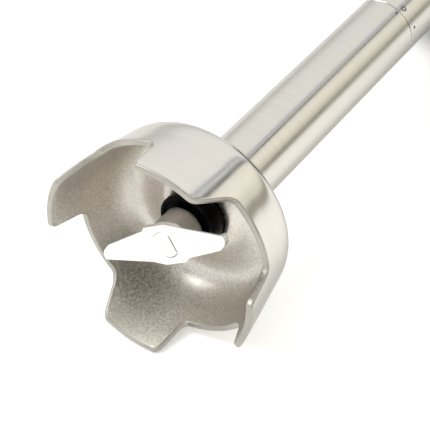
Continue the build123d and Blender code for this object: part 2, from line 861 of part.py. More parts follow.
with BuildPart() as cord_gland:
    # inner flange, waist in the cap's wall and outer collar
    for start, end, radius in ((388.5, 391.0, 8.5), (391.0, 396.3, GLAND_R), (396.3, LENGTH, 7.4)):
        with BuildSketch(station(start)):
            with Locations((0, GLAND_Z - AXIS_Z)):
                Circle(radius)
        extrude(amount=end - start)
    fillet(cord_gland.faces().sort_by(Axis.X)[-1].edges(), 0.8)
    with BuildSketch(station(388.5)):
        with Locations((0, GLAND_Z - AXIS_Z)):
            Circle(CORD_R)
    extrude(amount=20, mode=Mode.SUBTRACT)
save(cord_gland, "cord_gland")

# ---------------------------------------------------------------- controls
FLANGE_Z = TOP_Z - SHELL_WALL - 1.1  # top of a button's retaining flange
POST_R = 2.2


def button(at, half_length, half_width):
    """Push button: crowned cap, retaining flange and the post that works its switch."""
    with BuildPart() as piece:
        with BuildSketch(level(FLANGE_Z - FLANGE_T)):
            with Locations((at, 0)):
                Ellipse(half_length, half_width)
        extrude(amount=TOP_Z + BUTTON_RISE - FLANGE_Z + FLANGE_T)
        fillet(piece.edges().group_by(Axis.Z)[-1], 1.2)
        with BuildSketch(level(FLANGE_Z - FLANGE_T)):
            with Locations((at, 0)):
                Ellipse(half_length + 1.5, half_width + 1.5)
        extrude(amount=FLANGE_T)
        with BuildSketch(level(SWITCH_TOP + BUTTON_TRAVEL + 0.5)):
            with Locations((at, 0)):
                Circle(POST_R)
        extrude(until=Until.NEXT)
    return piece


power_button = button(*POWER)
save(power_button, "power_button")
turbo_button = button(*TURBO)
save(turbo_button, "turbo_button")


def button_spring(at):
    """Return spring between a switch and its button's flange."""
    seat = level(SWITCH_TOP + 0.05)
    height = FLANGE_Z - FLANGE_T - SWITCH_TOP - 0.1
    return coil_spring(seat.move(Pos(at, 0, 0)), height, SPRING_R, WIRE_R, SPRING_TURNS)


power_spring = button_spring(POWER[0])
save(power_spring, "power_spring")
turbo_spring = button_spring(TURBO[0])
save(turbo_spring, "turbo_spring")


def switch(at):
    """Snap switch standing on the board, with its small plunger."""
    with BuildPart() as piece:
        with BuildSketch(level(BOARD_Z + BOARD_T)):
            with Locations((at, 0)):
                Rectangle(16.0, 9.0)
        extrude(amount=SWITCH_TOP - BOARD_Z - BOARD_T)
        with BuildSketch(level(SWITCH_TOP)):
            with Locations((at, 0)):
                Circle(1.2)
        extrude(amount=0.3)
    return piece


power_switch = switch(POWER[0])
save(power_switch, "power_switch")
turbo_switch = switch(TURBO[0])
save(turbo_switch, "turbo_switch")

BOARD_START, BOARD_END, BOARD_HALF = 297.0, 382.0, 20.0
with BuildPart() as control_board:
    with BuildSketch(level(BOARD_Z)):
        with Locations(((BOARD_START + BOARD_END) / 2, 0)):
            RectangleRounded(BOARD_END - BOARD_START, 2 * BOARD_HALF, 2)
    extrude(amount=BOARD_T)
    # power transistor with its cooling plate, and two rows of small parts
    with BuildSketch(level(BOARD_Z + BOARD_T)):
        with Locations((323.0, 13.0)):
            Rectangle(10.0, 4.5)
        for side in (-1, 1):
            for at in (304.0, 330.0, 345.0, 354.0):
                with Locations((at, side * 17.0)):
                    Rectangle(6.0, 2.6)
    extrude(amount=3.0)
save(control_board, "control_board")

with BuildPart() as suppressor:
    with BuildSketch(station(304.0)):
        with Locations((0, 14.0 - AXIS_Z)):
            RectangleRounded(20.0, 13.0, 2.0)
    extrude(amount=26.0)
save(suppressor, "suppressor")

DIAL_RIDGES = 36
with BuildPart() as speed_dial:
    with BuildSketch(across(-DIAL_W / 2)):
        with Locations((DIAL_STATION, DIAL_Z)):
            Circle(DIAL_R)
            Circle(3.0, mode=Mode.SUBTRACT)
            with PolarLocations(DIAL_R, DIAL_RIDGES):
                Circle(0.35, mode=Mode.SUBTRACT)
    extrude(amount=-DIAL_W)
save(speed_dial, "speed_dial")

with BuildPart() as speed_control:
    with BuildSketch(across(DIAL_W / 2 + 0.6)):
        with Locations((DIAL_STATION, (BOARD_Z + BOARD_T + DIAL_Z + 3.5) / 2)):
            Rectangle(16.0, DIAL_Z + 3.5 - BOARD_Z - BOARD_T)
    extrude(amount=-6.0)
    with BuildSketch(across(-DIAL_W / 2 - 1.0)):
        with Locations((DIAL_STATION, DIAL_Z)):
            Circle(3.0 - RUN)
    extrude(amount=-DIAL_W - 1.6)
save(speed_control, "speed_control")
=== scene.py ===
"""Immersion blender lying on a white worktop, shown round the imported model.

The blender lies along +X, from the open rim of its bell to the cord inlet. Stations are
millimetres behind the rim, and angles go round the shaft from +Y towards +Z. Meshes are in
metres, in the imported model's own frame, and each one rides on the body that carries it.
"""

import cmath
import logging
import math
from dataclasses import dataclass
from enum import Enum
from typing import Sequence

import bmesh
import bpy
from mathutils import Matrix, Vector


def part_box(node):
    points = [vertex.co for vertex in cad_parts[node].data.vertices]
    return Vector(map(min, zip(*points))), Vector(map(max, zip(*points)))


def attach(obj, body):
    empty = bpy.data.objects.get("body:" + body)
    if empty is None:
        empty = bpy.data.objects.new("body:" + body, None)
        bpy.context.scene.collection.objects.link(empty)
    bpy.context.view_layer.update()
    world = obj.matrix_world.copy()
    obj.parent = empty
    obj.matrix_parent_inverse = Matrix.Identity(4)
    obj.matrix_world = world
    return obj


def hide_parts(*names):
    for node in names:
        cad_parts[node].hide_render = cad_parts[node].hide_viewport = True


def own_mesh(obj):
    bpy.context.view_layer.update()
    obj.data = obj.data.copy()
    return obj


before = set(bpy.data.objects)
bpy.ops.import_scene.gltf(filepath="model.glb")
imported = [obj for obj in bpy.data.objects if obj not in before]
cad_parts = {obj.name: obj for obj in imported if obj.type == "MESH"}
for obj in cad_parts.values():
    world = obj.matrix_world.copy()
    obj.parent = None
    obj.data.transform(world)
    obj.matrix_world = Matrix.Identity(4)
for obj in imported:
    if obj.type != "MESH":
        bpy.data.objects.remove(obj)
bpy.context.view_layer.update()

LOG = logging.getLogger("immersion_blender")
MM = 0.001
Point = tuple[float, float]
Colour = tuple[float, float, float]
Piece = bpy.types.Object
Socket = bpy.types.NodeSocket


# ------------------------------------------------------------------ the shaft line
@dataclass(frozen=True)
class ShaftLine:
    """A line along the blender that pieces are placed from.

    Args:
        rim_x: X of the bell's rim, in metres.
        height: Z of the line, in metres.
    """

    rim_x: float
    height: float

    def beside(self, station: float, across: float, height: float) -> Vector:
        """Place a point by station, and by Y and Z from the line in millimetres."""
        return Vector((self.rim_x + station * MM, across * MM, self.height + height * MM))

    def at(self, station: float, radius: float = 0.0, angle: float = 0.0) -> Vector:
        """Place a point by station, radius in millimetres and angle in degrees."""
        turn = math.radians(angle)
        return self.beside(station, radius * math.cos(turn), radius * math.sin(turn))

    def station(self, x: float) -> float:
        """Station in millimetres of an X in metres."""
        return (x - self.rim_x) / MM


def span(node: str) -> tuple[float, float]:
    """Stations of a CAD node's two ends."""
    low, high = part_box(node)
    return SHAFT.station(low.x), SHAFT.station(high.x)


def outer_radius(node: str) -> float:
    """Outer radius of a round CAD node on the shaft line, in millimetres."""
    low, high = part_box(node)
    return (high.y - low.y) / 2 / MM


BELL_LOW, BELL_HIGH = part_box("bell_guard")
SHAFT = ShaftLine(BELL_LOW.x, (BELL_LOW.z + BELL_HIGH.z) / 2)
WORKTOP = ShaftLine(BELL_LOW.x, 0.0)
TUBE_BACK = outer_radius("shaft_tube") + 0.05  # radius of the clearance round the tube


# ------------------------------------------------------------------ curves and meshes
def turns(count: int, first: float = 0.0, sweep: float = 360.0) -> list[float]:
    """Evenly spaced angles in radians, with the far end left out."""
    return [math.radians(first + sweep * step / count) for step in range(count)]


def clamped(value: float) -> float:
    """The value, held between 0 and 1."""
    return max(0.0, min(1.0, value))


def bezier(count: int, *pulls: Point) -> list[Point]:
    """Points of a curve drawn by its pull points, both ends included.

    Args:
        count: Number of steps.
        *pulls: The pull points.

    Returns:
        The points in order.
    """
    points = []
    for step in range(count + 1):
        line, share = list(pulls), step / count
        while len(line) > 1:
            line = [tuple(p + (q - p) * share for p, q in zip(a, b)) for a, b in zip(line, line[1:])]
        points.append(line[0])
    return points


def rounded(corners: Sequence[tuple[float, float, float]], pitch: float) -> list[Point]:
    """Open polyline through corners, each rounded by an arc, with evenly spaced points.

    Args:
        corners: (x, y, corner radius) for each corner; the first and last stay sharp.
        pitch: Largest distance between points.

    Returns:
        The points in order.
    """
    places = [complex(x, y) for x, y, _ in corners]
    line = [places[0]]
    for before, here, after, (_, _, radius) in zip(places, places[1:], places[2:], corners[1:]):
        back, ahead = (before - here) / abs(before - here), (after - here) / abs(after - here)
        half = abs(cmath.phase(ahead / back)) / 2
        centre = here + (back + ahead) / abs(back + ahead) * radius / math.sin(half)
        arm = here + back * radius / math.tan(half) - centre
        sweep = cmath.phase((here + ahead * radius / math.tan(half) - centre) / arm)
        steps = max(4, math.ceil(abs(sweep) * radius / pitch))
        line += [centre + arm * cmath.rect(1.0, sweep * step / steps) for step in range(steps + 1)]
    line.append(places[-1])
    points = []
    for start, end in zip(line, line[1:]):
        steps = max(1, math.ceil(abs(end - start) / pitch))
        points += [start + (end - start) * step / steps for step in range(steps)]
    return [(point.real, point.imag) for point in [*points, line[-1]]]


def finished_mesh(name: str, shape: bmesh.types.BMesh) -> Piece:
    """Close up a mesh, turn its normals out and link it as a smooth-shaded object.

    Args:
        name: The object's name.
        shape: The mesh, which is used up.

    Returns:
        The new object.
    """
    bmesh.ops.remove_doubles(shape, verts=shape.verts, dist=1e-7)
    bmesh.ops.recalc_face_normals(shape, faces=shape.faces)
    mesh = bpy.data.meshes.new(name)
    shape.to_mesh(mesh)
    shape.free()
    mesh.polygons.foreach_set("use_smooth", [True] * len(mesh.polygons))
    thing = bpy.data.objects.new(name, mesh)
    bpy.context.scene.collection.objects.link(thing)
    return thing


def grid_object(name: str, rows: Sequence[Sequence[Vector]], caps: bool = True) -> Piece:
    """Mesh from closed rings of points, joined ring to ring.

    Args:
        name: The object's name.
        rows: Rings of points, all of one length.
        caps: Whether the first and last rings are filled; if not, they join each other.

    Returns:
        The new object, with its normals facing out.
    """
    shape = bmesh.new()
    rings = [[shape.verts.new(point) for point in row] for row in rows]
    width = len(rings[0])
    for below, above in zip(rings, rings[1:] if caps else rings[1:] + rings[:1]):
        for column in range(width):
            after = (column + 1) % width
            shape.faces.new((below[column], below[after], above[after], above[column]))
    if caps:
        shape.faces.new(rings[0])
        shape.faces.new(rings[-1])
    return finished_mesh(name, shape)


def turned(name: str, outline: Sequence[Point], steps: int, line: ShaftLine = SHAFT) -> Piece:
    """Turned piece from a closed (station, radius) outline.

    Args:
        name: The object's name.
        outline: Closed outline.
        steps: Columns round the axis.
        line: Axis to turn round.

    Returns:
        The new object.
    """
    angles = [360 * step / steps for step in range(steps)]
    rows = [[line.at(station, radius, angle) for angle in angles] for station, radius in outline]
    return grid_object(name, rows, caps=False)


def soften(thing: Piece, width: float, segments: int, angle: float) -> None:
    """Round a piece's sharp edges.

    Args:
        thing: The piece.
        width: Width of the rounding in millimetres.
        segments: Facets across the rounding.
        angle: Only edges sharper than this many degrees are rounded.
    """
    bevel = thing.modifiers.new("rounding", "BEVEL")
    bevel.width, bevel.segments = width * MM, segments
    bevel.limit_method, bevel.angle_limit = "ANGLE", math.radians(angle)
    thing.modifiers.new("normals", "WEIGHTED_NORMAL")


def carve(thing: Piece, *cutters: Piece) -> None:
    """Cut other meshes out of a piece and throw them away.

    Args:
        thing: The piece.
        *cutters: The meshes to cut away.
    """
    for cutter in cutters:
        cut = thing.modifiers.new("cut", "BOOLEAN")
        cut.object, cut.operation, cut.solver = cutter, "DIFFERENCE", "EXACT"
        graph = bpy.context.evaluated_depsgraph_get()
        mesh = bpy.data.meshes.new_from_object(thing.evaluated_get(graph))
        thing.modifiers.clear()
        thing.data = mesh
        bpy.data.objects.remove(cutter)


# ------------------------------------------------------------------ finishes
class Shader:
    """A material's or a world's nodes under construction, with short names for them."""

    def __init__(self, holder: bpy.types.Material | bpy.types.World) -> None:
        """Start on the holder's own nodes.

        Args:
            holder: The material or world.
        """
        holder.use_nodes = True
        self.tree = holder.node_tree
        self.surface = self.tree.nodes.get("Principled BSDF")

    def add(self, kind: str, **settings: object) -> bpy.types.Node:
        """Add a node and set its properties.

        Args:
            kind: The node's type, without its prefix.
            **settings: Its properties.

        Returns:
            The node.
        """
        node = self.tree.nodes.new(f"ShaderNode{kind}")
        for key, value in settings.items():
            setattr(node, key, value)
        return node

    def feed(self, target: Socket, value: object) -> None:
        """Link a socket, or set a plain value on it.

        Args:
            target: The input.
            value: An output or a plain value.
        """
        if isinstance(value, Socket):
            self.tree.links.new(value, target)
        else:
            target.default_value = value

    def math(self, operation: str, a: object, b: object = 0.0) -> Socket:
        """Result of one arithmetic operation.

        Args:
            operation: Name of the operation.
            a: First value.
            b: Second value, if it takes two.

        Returns:
            The result.
        """
        node = self.add("Math", operation=operation)
        self.feed(node.inputs[0], a)
        self.feed(node.inputs[1], b)
        return node.outputs[0]

    def mixed(self, a: object, b: object, share: float) -> Socket:
        """Sum of a share of one value and the rest of another."""
        return self.math("ADD", self.math("MULTIPLY", a, share), self.math("MULTIPLY", b, 1 - share))

    def place(self, output: str = "Object") -> Socket:
        """Position on the piece, in metres, in the model's frame."""
        return self.add("TexCoord").outputs[output]

    def parts(self, vector: Socket) -> list[Socket]:
        """X, Y and Z of a vector.

        Args:
            vector: The vector.

        Returns:
            Its three parts.
        """
        node = self.add("SeparateXYZ")
        self.feed(node.inputs[0], vector)
        return list(node.outputs)

    def hoops(self, across: float, along: float) -> Socket:
        """Coordinates that draw a noise out into lines round the shaft.

        Args:
            across: Cells per metre across the lines.
            along: Cells per metre along the lines.

        Returns:
            The coordinate vector.
        """
        x, y, z = self.parts(self.place())
        up = self.math("SUBTRACT", z, SHAFT.height)
        squares = self.math("ADD", self.math("MULTIPLY", y, y), self.math("MULTIPLY", up, up))
        depth = self.math("SUBTRACT", x, self.math("SQRT", squares))
        joined = self.add("CombineXYZ")
        for socket, value, scale in zip(joined.inputs, (depth, y, up), (across, along, along)):
            self.feed(socket, self.math("MULTIPLY", value, scale))
        return joined.outputs[0]

    def noise(self, scale: float, detail: float = 3.0, vector: Socket | None = None) -> Socket:
        """Soft noise between 0 and 1.

        Args:
            scale: Cells per metre.
            detail: Octaves.
            vector: Coordinates, the plain position if left out.

        Returns:
            The noise value.
        """
        node = self.add("TexNoise")
        for key, value in (("Scale", scale), ("Detail", detail), ("Vector", vector or self.place())):
            self.feed(node.inputs[key], value)
        return node.outputs["Fac"]

    def cells(self, scale: float) -> Socket:
        """Distance to the nearest of some scattered points, so many to the metre.

        Args:
            scale: Points per metre.

        Returns:
            The distance.
        """
        node = self.add("TexVoronoi")
        self.feed(node.inputs["Scale"], scale)
        self.feed(node.inputs["Vector"], self.place())
        return node.outputs["Distance"]

    def spread(self, value: Socket, low: float, high: float, start: float, end: float) -> Socket:
        """Map a value from the range start to end to the range low to high, clamped.

        Args:
            value: The value.
            low: Result at start.
            high: Result at end.
            start: Value that gives low.
            end: Value that gives high.

        Returns:
            The result.
        """
        node = self.add("MapRange")
        for socket, amount in zip(node.inputs, (value, start, end, low, high)):
            self.feed(socket, amount)
        return node.outputs[0]

    def blend(self, factor: Socket, a: Colour | Socket, b: Colour | Socket) -> Socket:
        """Mix two colours: a factor of 0 gives the first and 1 the second.

        Args:
            factor: Share of the second colour.
            a: First colour.
            b: Second colour.

        Returns:
            The mixed colour.
        """
        node = self.add("Mix", data_type="RGBA")
        self.feed(node.inputs[0], factor)
        for socket, colour in ((node.inputs[6], a), (node.inputs[7], b)):
            self.feed(socket, colour if isinstance(colour, Socket) else (*colour, 1.0))
        return node.outputs[2]

    def bump(self, height: Socket, depth: float, under: Socket | None = None) -> Socket:
        """Surface relief.

        Args:
            height: Height between 0 and 1.
            depth: Millimetres that a height of 1 stands for.
            under: Normal of a relief below this one.

        Returns:
            The bumped normal.
        """
        node = self.add("Bump")
        for key, value in (("Strength", 1.0), ("Distance", depth * MM), ("Height", height)):
            self.feed(node.inputs[key], value)
        if under:
            self.feed(node.inputs["Normal"], under)
        return node.outputs[0]

    def finish(self, colour: Socket, roughness: Socket, normal: Socket | None, **plain: object) -> None:
        """Connect the surface shader.

        Args:
            colour: Base colour.
            roughness: Roughness.
            normal: Normal, if the surface has relief.
            **plain: Plain values for the shader's other sockets, with _ for a space.
        """
        sockets = self.surface.inputs
        self.feed(sockets["Base Color"], colour)
        self.feed(sockets["Roughness"], roughness)
        if normal:
            self.feed(sockets["Normal"], normal)
        for key, value in plain.items():
            sockets[key.replace("_", " ")].default_value = value


@dataclass(frozen=True)
class Surface:
    """What every finish is made from.

    Args:
        name: The material's name.
        tint: Its main colour.
        roughness: Mean roughness.
    """

    name: str
    tint: Colour
    roughness: float = 0.3

    def draw(self, shader: Shader) -> None:
        """Draw the finish with a material's nodes."""
        raise NotImplementedError

    def material(self) -> bpy.types.Material:
        """The finish's material, made the first time that it is asked for.

        Returns:
            The material.
        """
        if self.name not in bpy.data.materials:
            self.draw(Shader(bpy.data.materials.new(self.name)))
        return bpy.data.materials[self.name]


@dataclass(frozen=True)
class SatinSteel(Surface):
    """Stainless steel with fine polishing lines.

    Args:
        lines: How far the lines change roughness and colour, from 0 to 1.
        pitch: Lines per metre.
        anisotropy: Stretch of the highlights across the lines.
        relief: Depth of the lines in millimetres.
    """

    lines: float = 0.4
    pitch: float = 1500.0
    anisotropy: float = 0.55
    relief: float = 0.006

    def draw(self, shader: Shader) -> None:
        """Draw fine and broad lines over a faint smudge.

        Args:
            shader: The material's nodes.
        """
        fine = shader.noise(1.0, 4.0, shader.hoops(self.pitch, 25.0))
        broad = shader.noise(1.0, 2.0, shader.hoops(self.pitch * 0.16, 9.0))
        streak = shader.mixed(fine, broad, 0.65)
        dark = tuple(channel * (1 - 0.34 * self.lines) for channel in self.tint)
        light = tuple(min(1.0, channel * (1 + 0.22 * self.lines)) for channel in self.tint)
        colour = shader.blend(shader.spread(streak, 0.0, 1.0, 0.34, 0.66), dark, light)
        swing = 0.5 * self.lines * self.roughness
        lined = shader.spread(streak, self.roughness - swing, self.roughness + swing, 0.36, 0.64)
        rough = shader.math("ADD", lined, shader.spread(shader.noise(55.0), -0.03, 0.04, 0.35, 0.68))
        tangent = shader.add("Tangent", direction_type="RADIAL", axis="X")
        shader.feed(shader.surface.inputs["Tangent"], tangent.outputs[0])
        shader.finish(
            colour,
            rough,
            shader.bump(streak, self.relief),
            Metallic=1.0,
            Anisotropic=self.anisotropy,
            Anisotropic_Rotation=0.25,
            Specular_Tint=(0.62, 0.62, 0.61, 1.0),
        )


@dataclass(frozen=True)
class BlastedSteel(Surface):
    """Bead-blasted steel inside the bell: matte, mottled and a little pitted.

    Args:
        stain: Colour of the duller patches.
        relief: Depth of the blasted texture in millimetres.
        pits: Share of the cells that hold a pit.
    """

    stain: Colour = (0.53, 0.50, 0.455)
    relief: float = 0.007
    pits: float = 0.085

    def draw(self, shader: Shader) -> None:
        """Draw the mottle and the few pits.

        Args:
            shader: The material's nodes.
        """
        mottle = shader.noise(1500.0)
        mix = shader.mixed(shader.noise(75.0, 4.0), mottle, 0.25)
        colour = shader.blend(shader.spread(mix, 0.0, 1.0, 0.38, 0.62), self.stain, self.tint)
        pit = shader.spread(shader.cells(300.0), 1.0, 0.0, self.pits * 0.4, self.pits)
        scarce = shader.spread(shader.noise(130.0, 1.0), 0.0, 1.0, 0.5, 0.56)
        pit = shader.math("MULTIPLY", pit, scarce)
        colour = shader.blend(pit, colour, tuple(channel * 0.6 for channel in self.stain))
        rough = shader.spread(mottle, self.roughness - 0.07, self.roughness + 0.09, 0.35, 0.65)
        relief = shader.bump(shader.noise(2600.0, 2.0), self.relief * 0.5)
        relief = shader.bump(mottle, self.relief, relief)
        relief = shader.bump(shader.math("SUBTRACT", 1.0, pit), self.relief * 1.4, relief)
        shader.finish(colour, rough, relief, Metallic=1.0)


@dataclass(frozen=True)
class GroundSteel(Surface):
    """Bright ground or cast metal with an even fine grain.

    Args:
        grit: Grains per metre.
        relief: Depth of the grain in millimetres.
        contrast: How far the grain changes the colour.
        metallic: 1 for bare metal.
    """

    grit: float = 1500.0
    relief: float = 0.01
    contrast: float = 0.12
    metallic: float = 1.0

    def draw(self, shader: Shader) -> None:
        """Draw the grain over broad faint patches.

        Args:
            shader: The material's nodes.
        """
        grain = shader.noise(self.grit)
        tone = shader.mixed(grain, shader.noise(self.grit * 0.07), 0.5)
        dark = tuple(channel * (1 - self.contrast) for channel in self.tint)
        colour = shader.blend(shader.spread(tone, 0.0, 1.0, 0.36, 0.64), dark, self.tint)
        rough = shader.spread(grain, self.roughness * 0.75, self.roughness * 1.3, 0.3, 0.7)
        shader.finish(colour, rough, shader.bump(grain, self.relief), Metallic=self.metallic)


@dataclass(frozen=True)
class MouldedPlastic(Surface):
    """Moulded plastic with a spark-eroded grain.

    Args:
        texture: Grains per metre.
        relief: Depth of the grain in millimetres.
        gloss: Strength of the surface's mirror reflection.
        variation: How far the colour drifts.
    """

    texture: float = 2200.0
    relief: float = 0.02
    gloss: float = 0.5
    variation: float = 0.18

    def draw(self, shader: Shader) -> None:
        """Draw the grain, a slow drift of colour and rubbed patches.

        Args:
            shader: The material's nodes.
        """
        drift = shader.noise(32.0)
        grain = shader.noise(self.texture, 2.0)
        darker = tuple(channel * (1 - self.variation) for channel in self.tint)
        colour = shader.blend(shader.spread(drift, 0.0, 1.0, 0.35, 0.65), darker, self.tint)
        low, high = self.roughness - 0.06, self.roughness + 0.06
        rubbed = shader.spread(shader.noise(160.0, 4.0), low, high, 0.35, 0.65)
        rough = shader.math("ADD", rubbed, shader.spread(grain, -0.03, 0.03, 0.35, 0.65))
        relief = shader.bump(grain, self.relief)
        shader.finish(colour, rough, relief, Metallic=0.0, Specular_IOR_Level=self.gloss, IOR=1.5)


@dataclass(frozen=True)
class MouldedRubber(Surface):
    """Soft moulded rubber: matte, with a faint bloom and a fine texture.

    Args:
        relief: Depth of the texture in millimetres.
    """

    relief: float = 0.03

    def draw(self, shader: Shader) -> None:
        """Draw the bloom and the skin.

        Args:
            shader: The material's nodes.
        """
        bloom = shader.noise(90.0, 4.0)
        paler = tuple(min(1.0, channel * 1.7 + 0.006) for channel in self.tint)
        colour = shader.blend(shader.spread(bloom, 0.0, 1.0, 0.42, 0.7), self.tint, paler)
        rough = shader.spread(bloom, self.roughness - 0.08, self.roughness + 0.1, 0.35, 0.65)
        skin = shader.bump(shader.cells(1500.0), self.relief)
        shader.finish(colour, rough, skin, Metallic=0.0, Sheen_Weight=0.12, Sheen_Roughness=0.4)


@dataclass(frozen=True)
class Lacquered(Surface):
    """Enamelled winding wire or lacquered sheets: thin lines under a varnish.

    Args:
        gap: Colour between two wires or sheets.
        pitch: Millimetres from one line to the next.
        direction: Axis that the lines are counted along: 0 for X, 1 for Y and 2 for Z.
    """

    gap: Colour = (0.05, 0.05, 0.06)
    pitch: float = 0.5
    direction: int = 0

    def draw(self, shader: Shader) -> None:
        """Draw the lines, a little uneven.

        Args:
            shader: The material's nodes.
        """
        place = shader.parts(shader.place())[self.direction]
        wobble = shader.math("MULTIPLY", shader.noise(400.0, 2.0), 0.5)
        count = shader.math("ADD", shader.math("DIVIDE", place, self.pitch * MM), wobble)
        wave = shader.math("ABSOLUTE", shader.math("SINE", shader.math("MULTIPLY", count, math.pi)))
        colour = shader.blend(shader.spread(wave, 0.0, 1.0, 0.05, 0.5), self.gap, self.tint)
        rough = shader.spread(shader.noise(700.0), 0.3, 0.46, 0.35, 0.65)
        relief = shader.bump(wave, self.pitch * 0.3)
        shader.finish(colour, rough, relief, Metallic=1.0, Coat_Weight=0.4, Coat_Roughness=0.2)


@dataclass(frozen=True)
class PrintedBoard(Surface):
    """Circuit board: green lacquer over faint copper tracks.

    Args:
        track: Colour of the lacquer over a track.
    """

    track: Colour = (0.05, 0.21, 0.06)

    def draw(self, shader: Shader) -> None:
        """Draw the tracks.

        Args:
            shader: The material's nodes.
        """
        bricks = shader.add("TexBrick", offset=0.35, squash=1.6)
        for key, value in (("Vector", shader.place()), ("Scale", 160.0), ("Mortar Size", 0.05)):
            shader.feed(bricks.inputs[key], value)
        tracks = bricks.outputs["Fac"]
        rough = shader.spread(shader.noise(500.0), 0.28, 0.42, 0.35, 0.65)
        shader.finish(
            shader.blend(tracks, self.tint, self.track),
            rough,
            shader.bump(tracks, 0.03),
            Metallic=0.0,
            Coat_Weight=0.5,
            Coat_Roughness=0.12,
        )


# ------------------------------------------------------------------ the finishes in use
class Finish(Enum):
    """Every finish on the blender, by the piece that wears it."""

    BELL_OUTSIDE = SatinSteel("bell_outside", (0.645, 0.622, 0.578), 0.15, 0.08, 2600.0, 0.45, 0.0015)
    BELL_INSIDE = BlastedSteel("bell_inside", (0.72, 0.69, 0.64), 0.37)
    BELL_EDGE = GroundSteel("bell_edge", (0.42, 0.40, 0.36), 0.44, grit=1300.0, relief=0.02, contrast=0.25)
    TUBE = SatinSteel("tube_steel", (0.60, 0.578, 0.535), 0.21, 0.13, 2400.0, 0.5, 0.002)
    BLADE = GroundSteel("blade_steel", (0.515, 0.51, 0.495), 0.24, contrast=0.06, relief=0.004)
    HUB = SatinSteel("hub_steel", (0.42, 0.395, 0.36), 0.36, 0.3, 2400.0, 0.3)
    SHAFT = SatinSteel("shaft_steel", (0.62, 0.60, 0.58), 0.25, 0.5, 3000.0, 0.4)
    SPRING = GroundSteel("spring_steel", (0.60, 0.60, 0.61), 0.22, grit=2500.0)
    BEARING = SatinSteel("bearing_steel", (0.66, 0.66, 0.67), 0.16, 0.4, 3200.0)
    SCREW = GroundSteel("screw_steel", (0.55, 0.55, 0.57), 0.3, grit=1800.0, contrast=0.25)
    BRONZE = GroundSteel("bush_bronze", (0.60, 0.37, 0.16), 0.42, grit=2600.0, relief=0.02, contrast=0.35)
    SEAL = MouldedRubber("seal_rubber", (0.022, 0.022, 0.024), 0.5)
    BOSS = MouldedPlastic("boss_plastic", (0.0008, 0.001, 0.0014), 0.3, relief=0.004, gloss=0.05)
    INNER_PLASTIC = MouldedPlastic("inner_plastic", (0.028, 0.028, 0.030), 0.42)
    CASING = MouldedPlastic("casing_plastic", (0.030, 0.031, 0.034), 0.4, texture=1500.0, relief=0.03)
    GRIP = MouldedRubber("grip_rubber", (0.045, 0.046, 0.048), 0.66)
    CHROME = SatinSteel("ring_chrome", (0.80, 0.80, 0.81), 0.1, 0.15, 3000.0, 0.2)
    BUTTON = MouldedPlastic("button_plastic", (0.33, 0.33, 0.34), 0.34, texture=2600.0, relief=0.012)
    DIAL = MouldedPlastic("dial_plastic", (0.20, 0.20, 0.21), 0.36, texture=2400.0, relief=0.015)
    LAMINATION = Lacquered("laminated_iron", (0.24, 0.25, 0.28))
    COPPER = Lacquered("winding_copper", (0.72, 0.30, 0.13), gap=(0.20, 0.07, 0.03), pitch=0.6, direction=2)
    COMMUTATOR = GroundSteel("commutator_copper", (0.74, 0.38, 0.22), 0.28, grit=2000.0, contrast=0.3)
    BRACKET = GroundSteel("cast_aluminium", (0.62, 0.63, 0.64), 0.5, grit=900.0, relief=0.05, contrast=0.22)
    CARBON = GroundSteel("brush_carbon", (0.05, 0.05, 0.055), 0.5, 2200.0, contrast=0.4, metallic=0.4)
    BOARD = PrintedBoard("circuit_board", (0.012, 0.10, 0.035))
    COMPONENT = MouldedPlastic("component_plastic", (0.11, 0.10, 0.09), 0.4)
    MARK = MouldedPlastic("mark_grey", (0.10, 0.10, 0.11), 0.4, texture=3000.0, relief=0.004)
    FAN = MouldedPlastic("fan_plastic", (0.045, 0.047, 0.05), 0.38)


def dress(thing: Piece, *finishes: Finish) -> None:
    """Put finishes into a piece's material slots, in order.

    Args:
        thing: The piece.
        *finishes: Its finishes.
    """
    thing.data.materials.clear()
    for finish in finishes:
        thing.data.materials.append(finish.value.material())
    LOG.info("%s wears %s", thing.name, " and ".join(finish.value.name for finish in finishes))


def crease(thing: Piece, angle: float) -> None:
    """Shade a piece smooth except across edges sharper than an angle."""
    thing.data.polygons.foreach_set("use_smooth", [True] * len(thing.data.polygons))
    thing.data.set_sharp_from_angle(angle=math.radians(angle))


def mount(thing: Piece, body: str, *nodes: str) -> Piece:
    """Let a piece ride on a body and stand for CAD nodes.

    Args:
        thing: The piece.
        body: The body that carries it.
        *nodes: CAD nodes that the piece replaces.

    Returns:
        The piece.
    """
    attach(thing, body)
    if nodes:
        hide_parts(*nodes)
    LOG.info("%s rides on %s and stands for %s", thing.name, body, ", ".join(nodes) or "nothing")
    return thing


def fit(thing: Piece, angle: float, finish: Finish, body: str, *nodes: str) -> Piece:
    """Crease a piece at an angle, dress it in one finish and mount it.

    Args:
        thing: The piece.
        angle: Edges sharper than this many degrees stay sharp.
        finish: Its finish.
        body: The body that carries it.
        *nodes: CAD nodes that the piece replaces.

    Returns:
        The piece.
    """
    crease(thing, angle)
    dress(thing, finish)
    return mount(thing, body, *nodes)


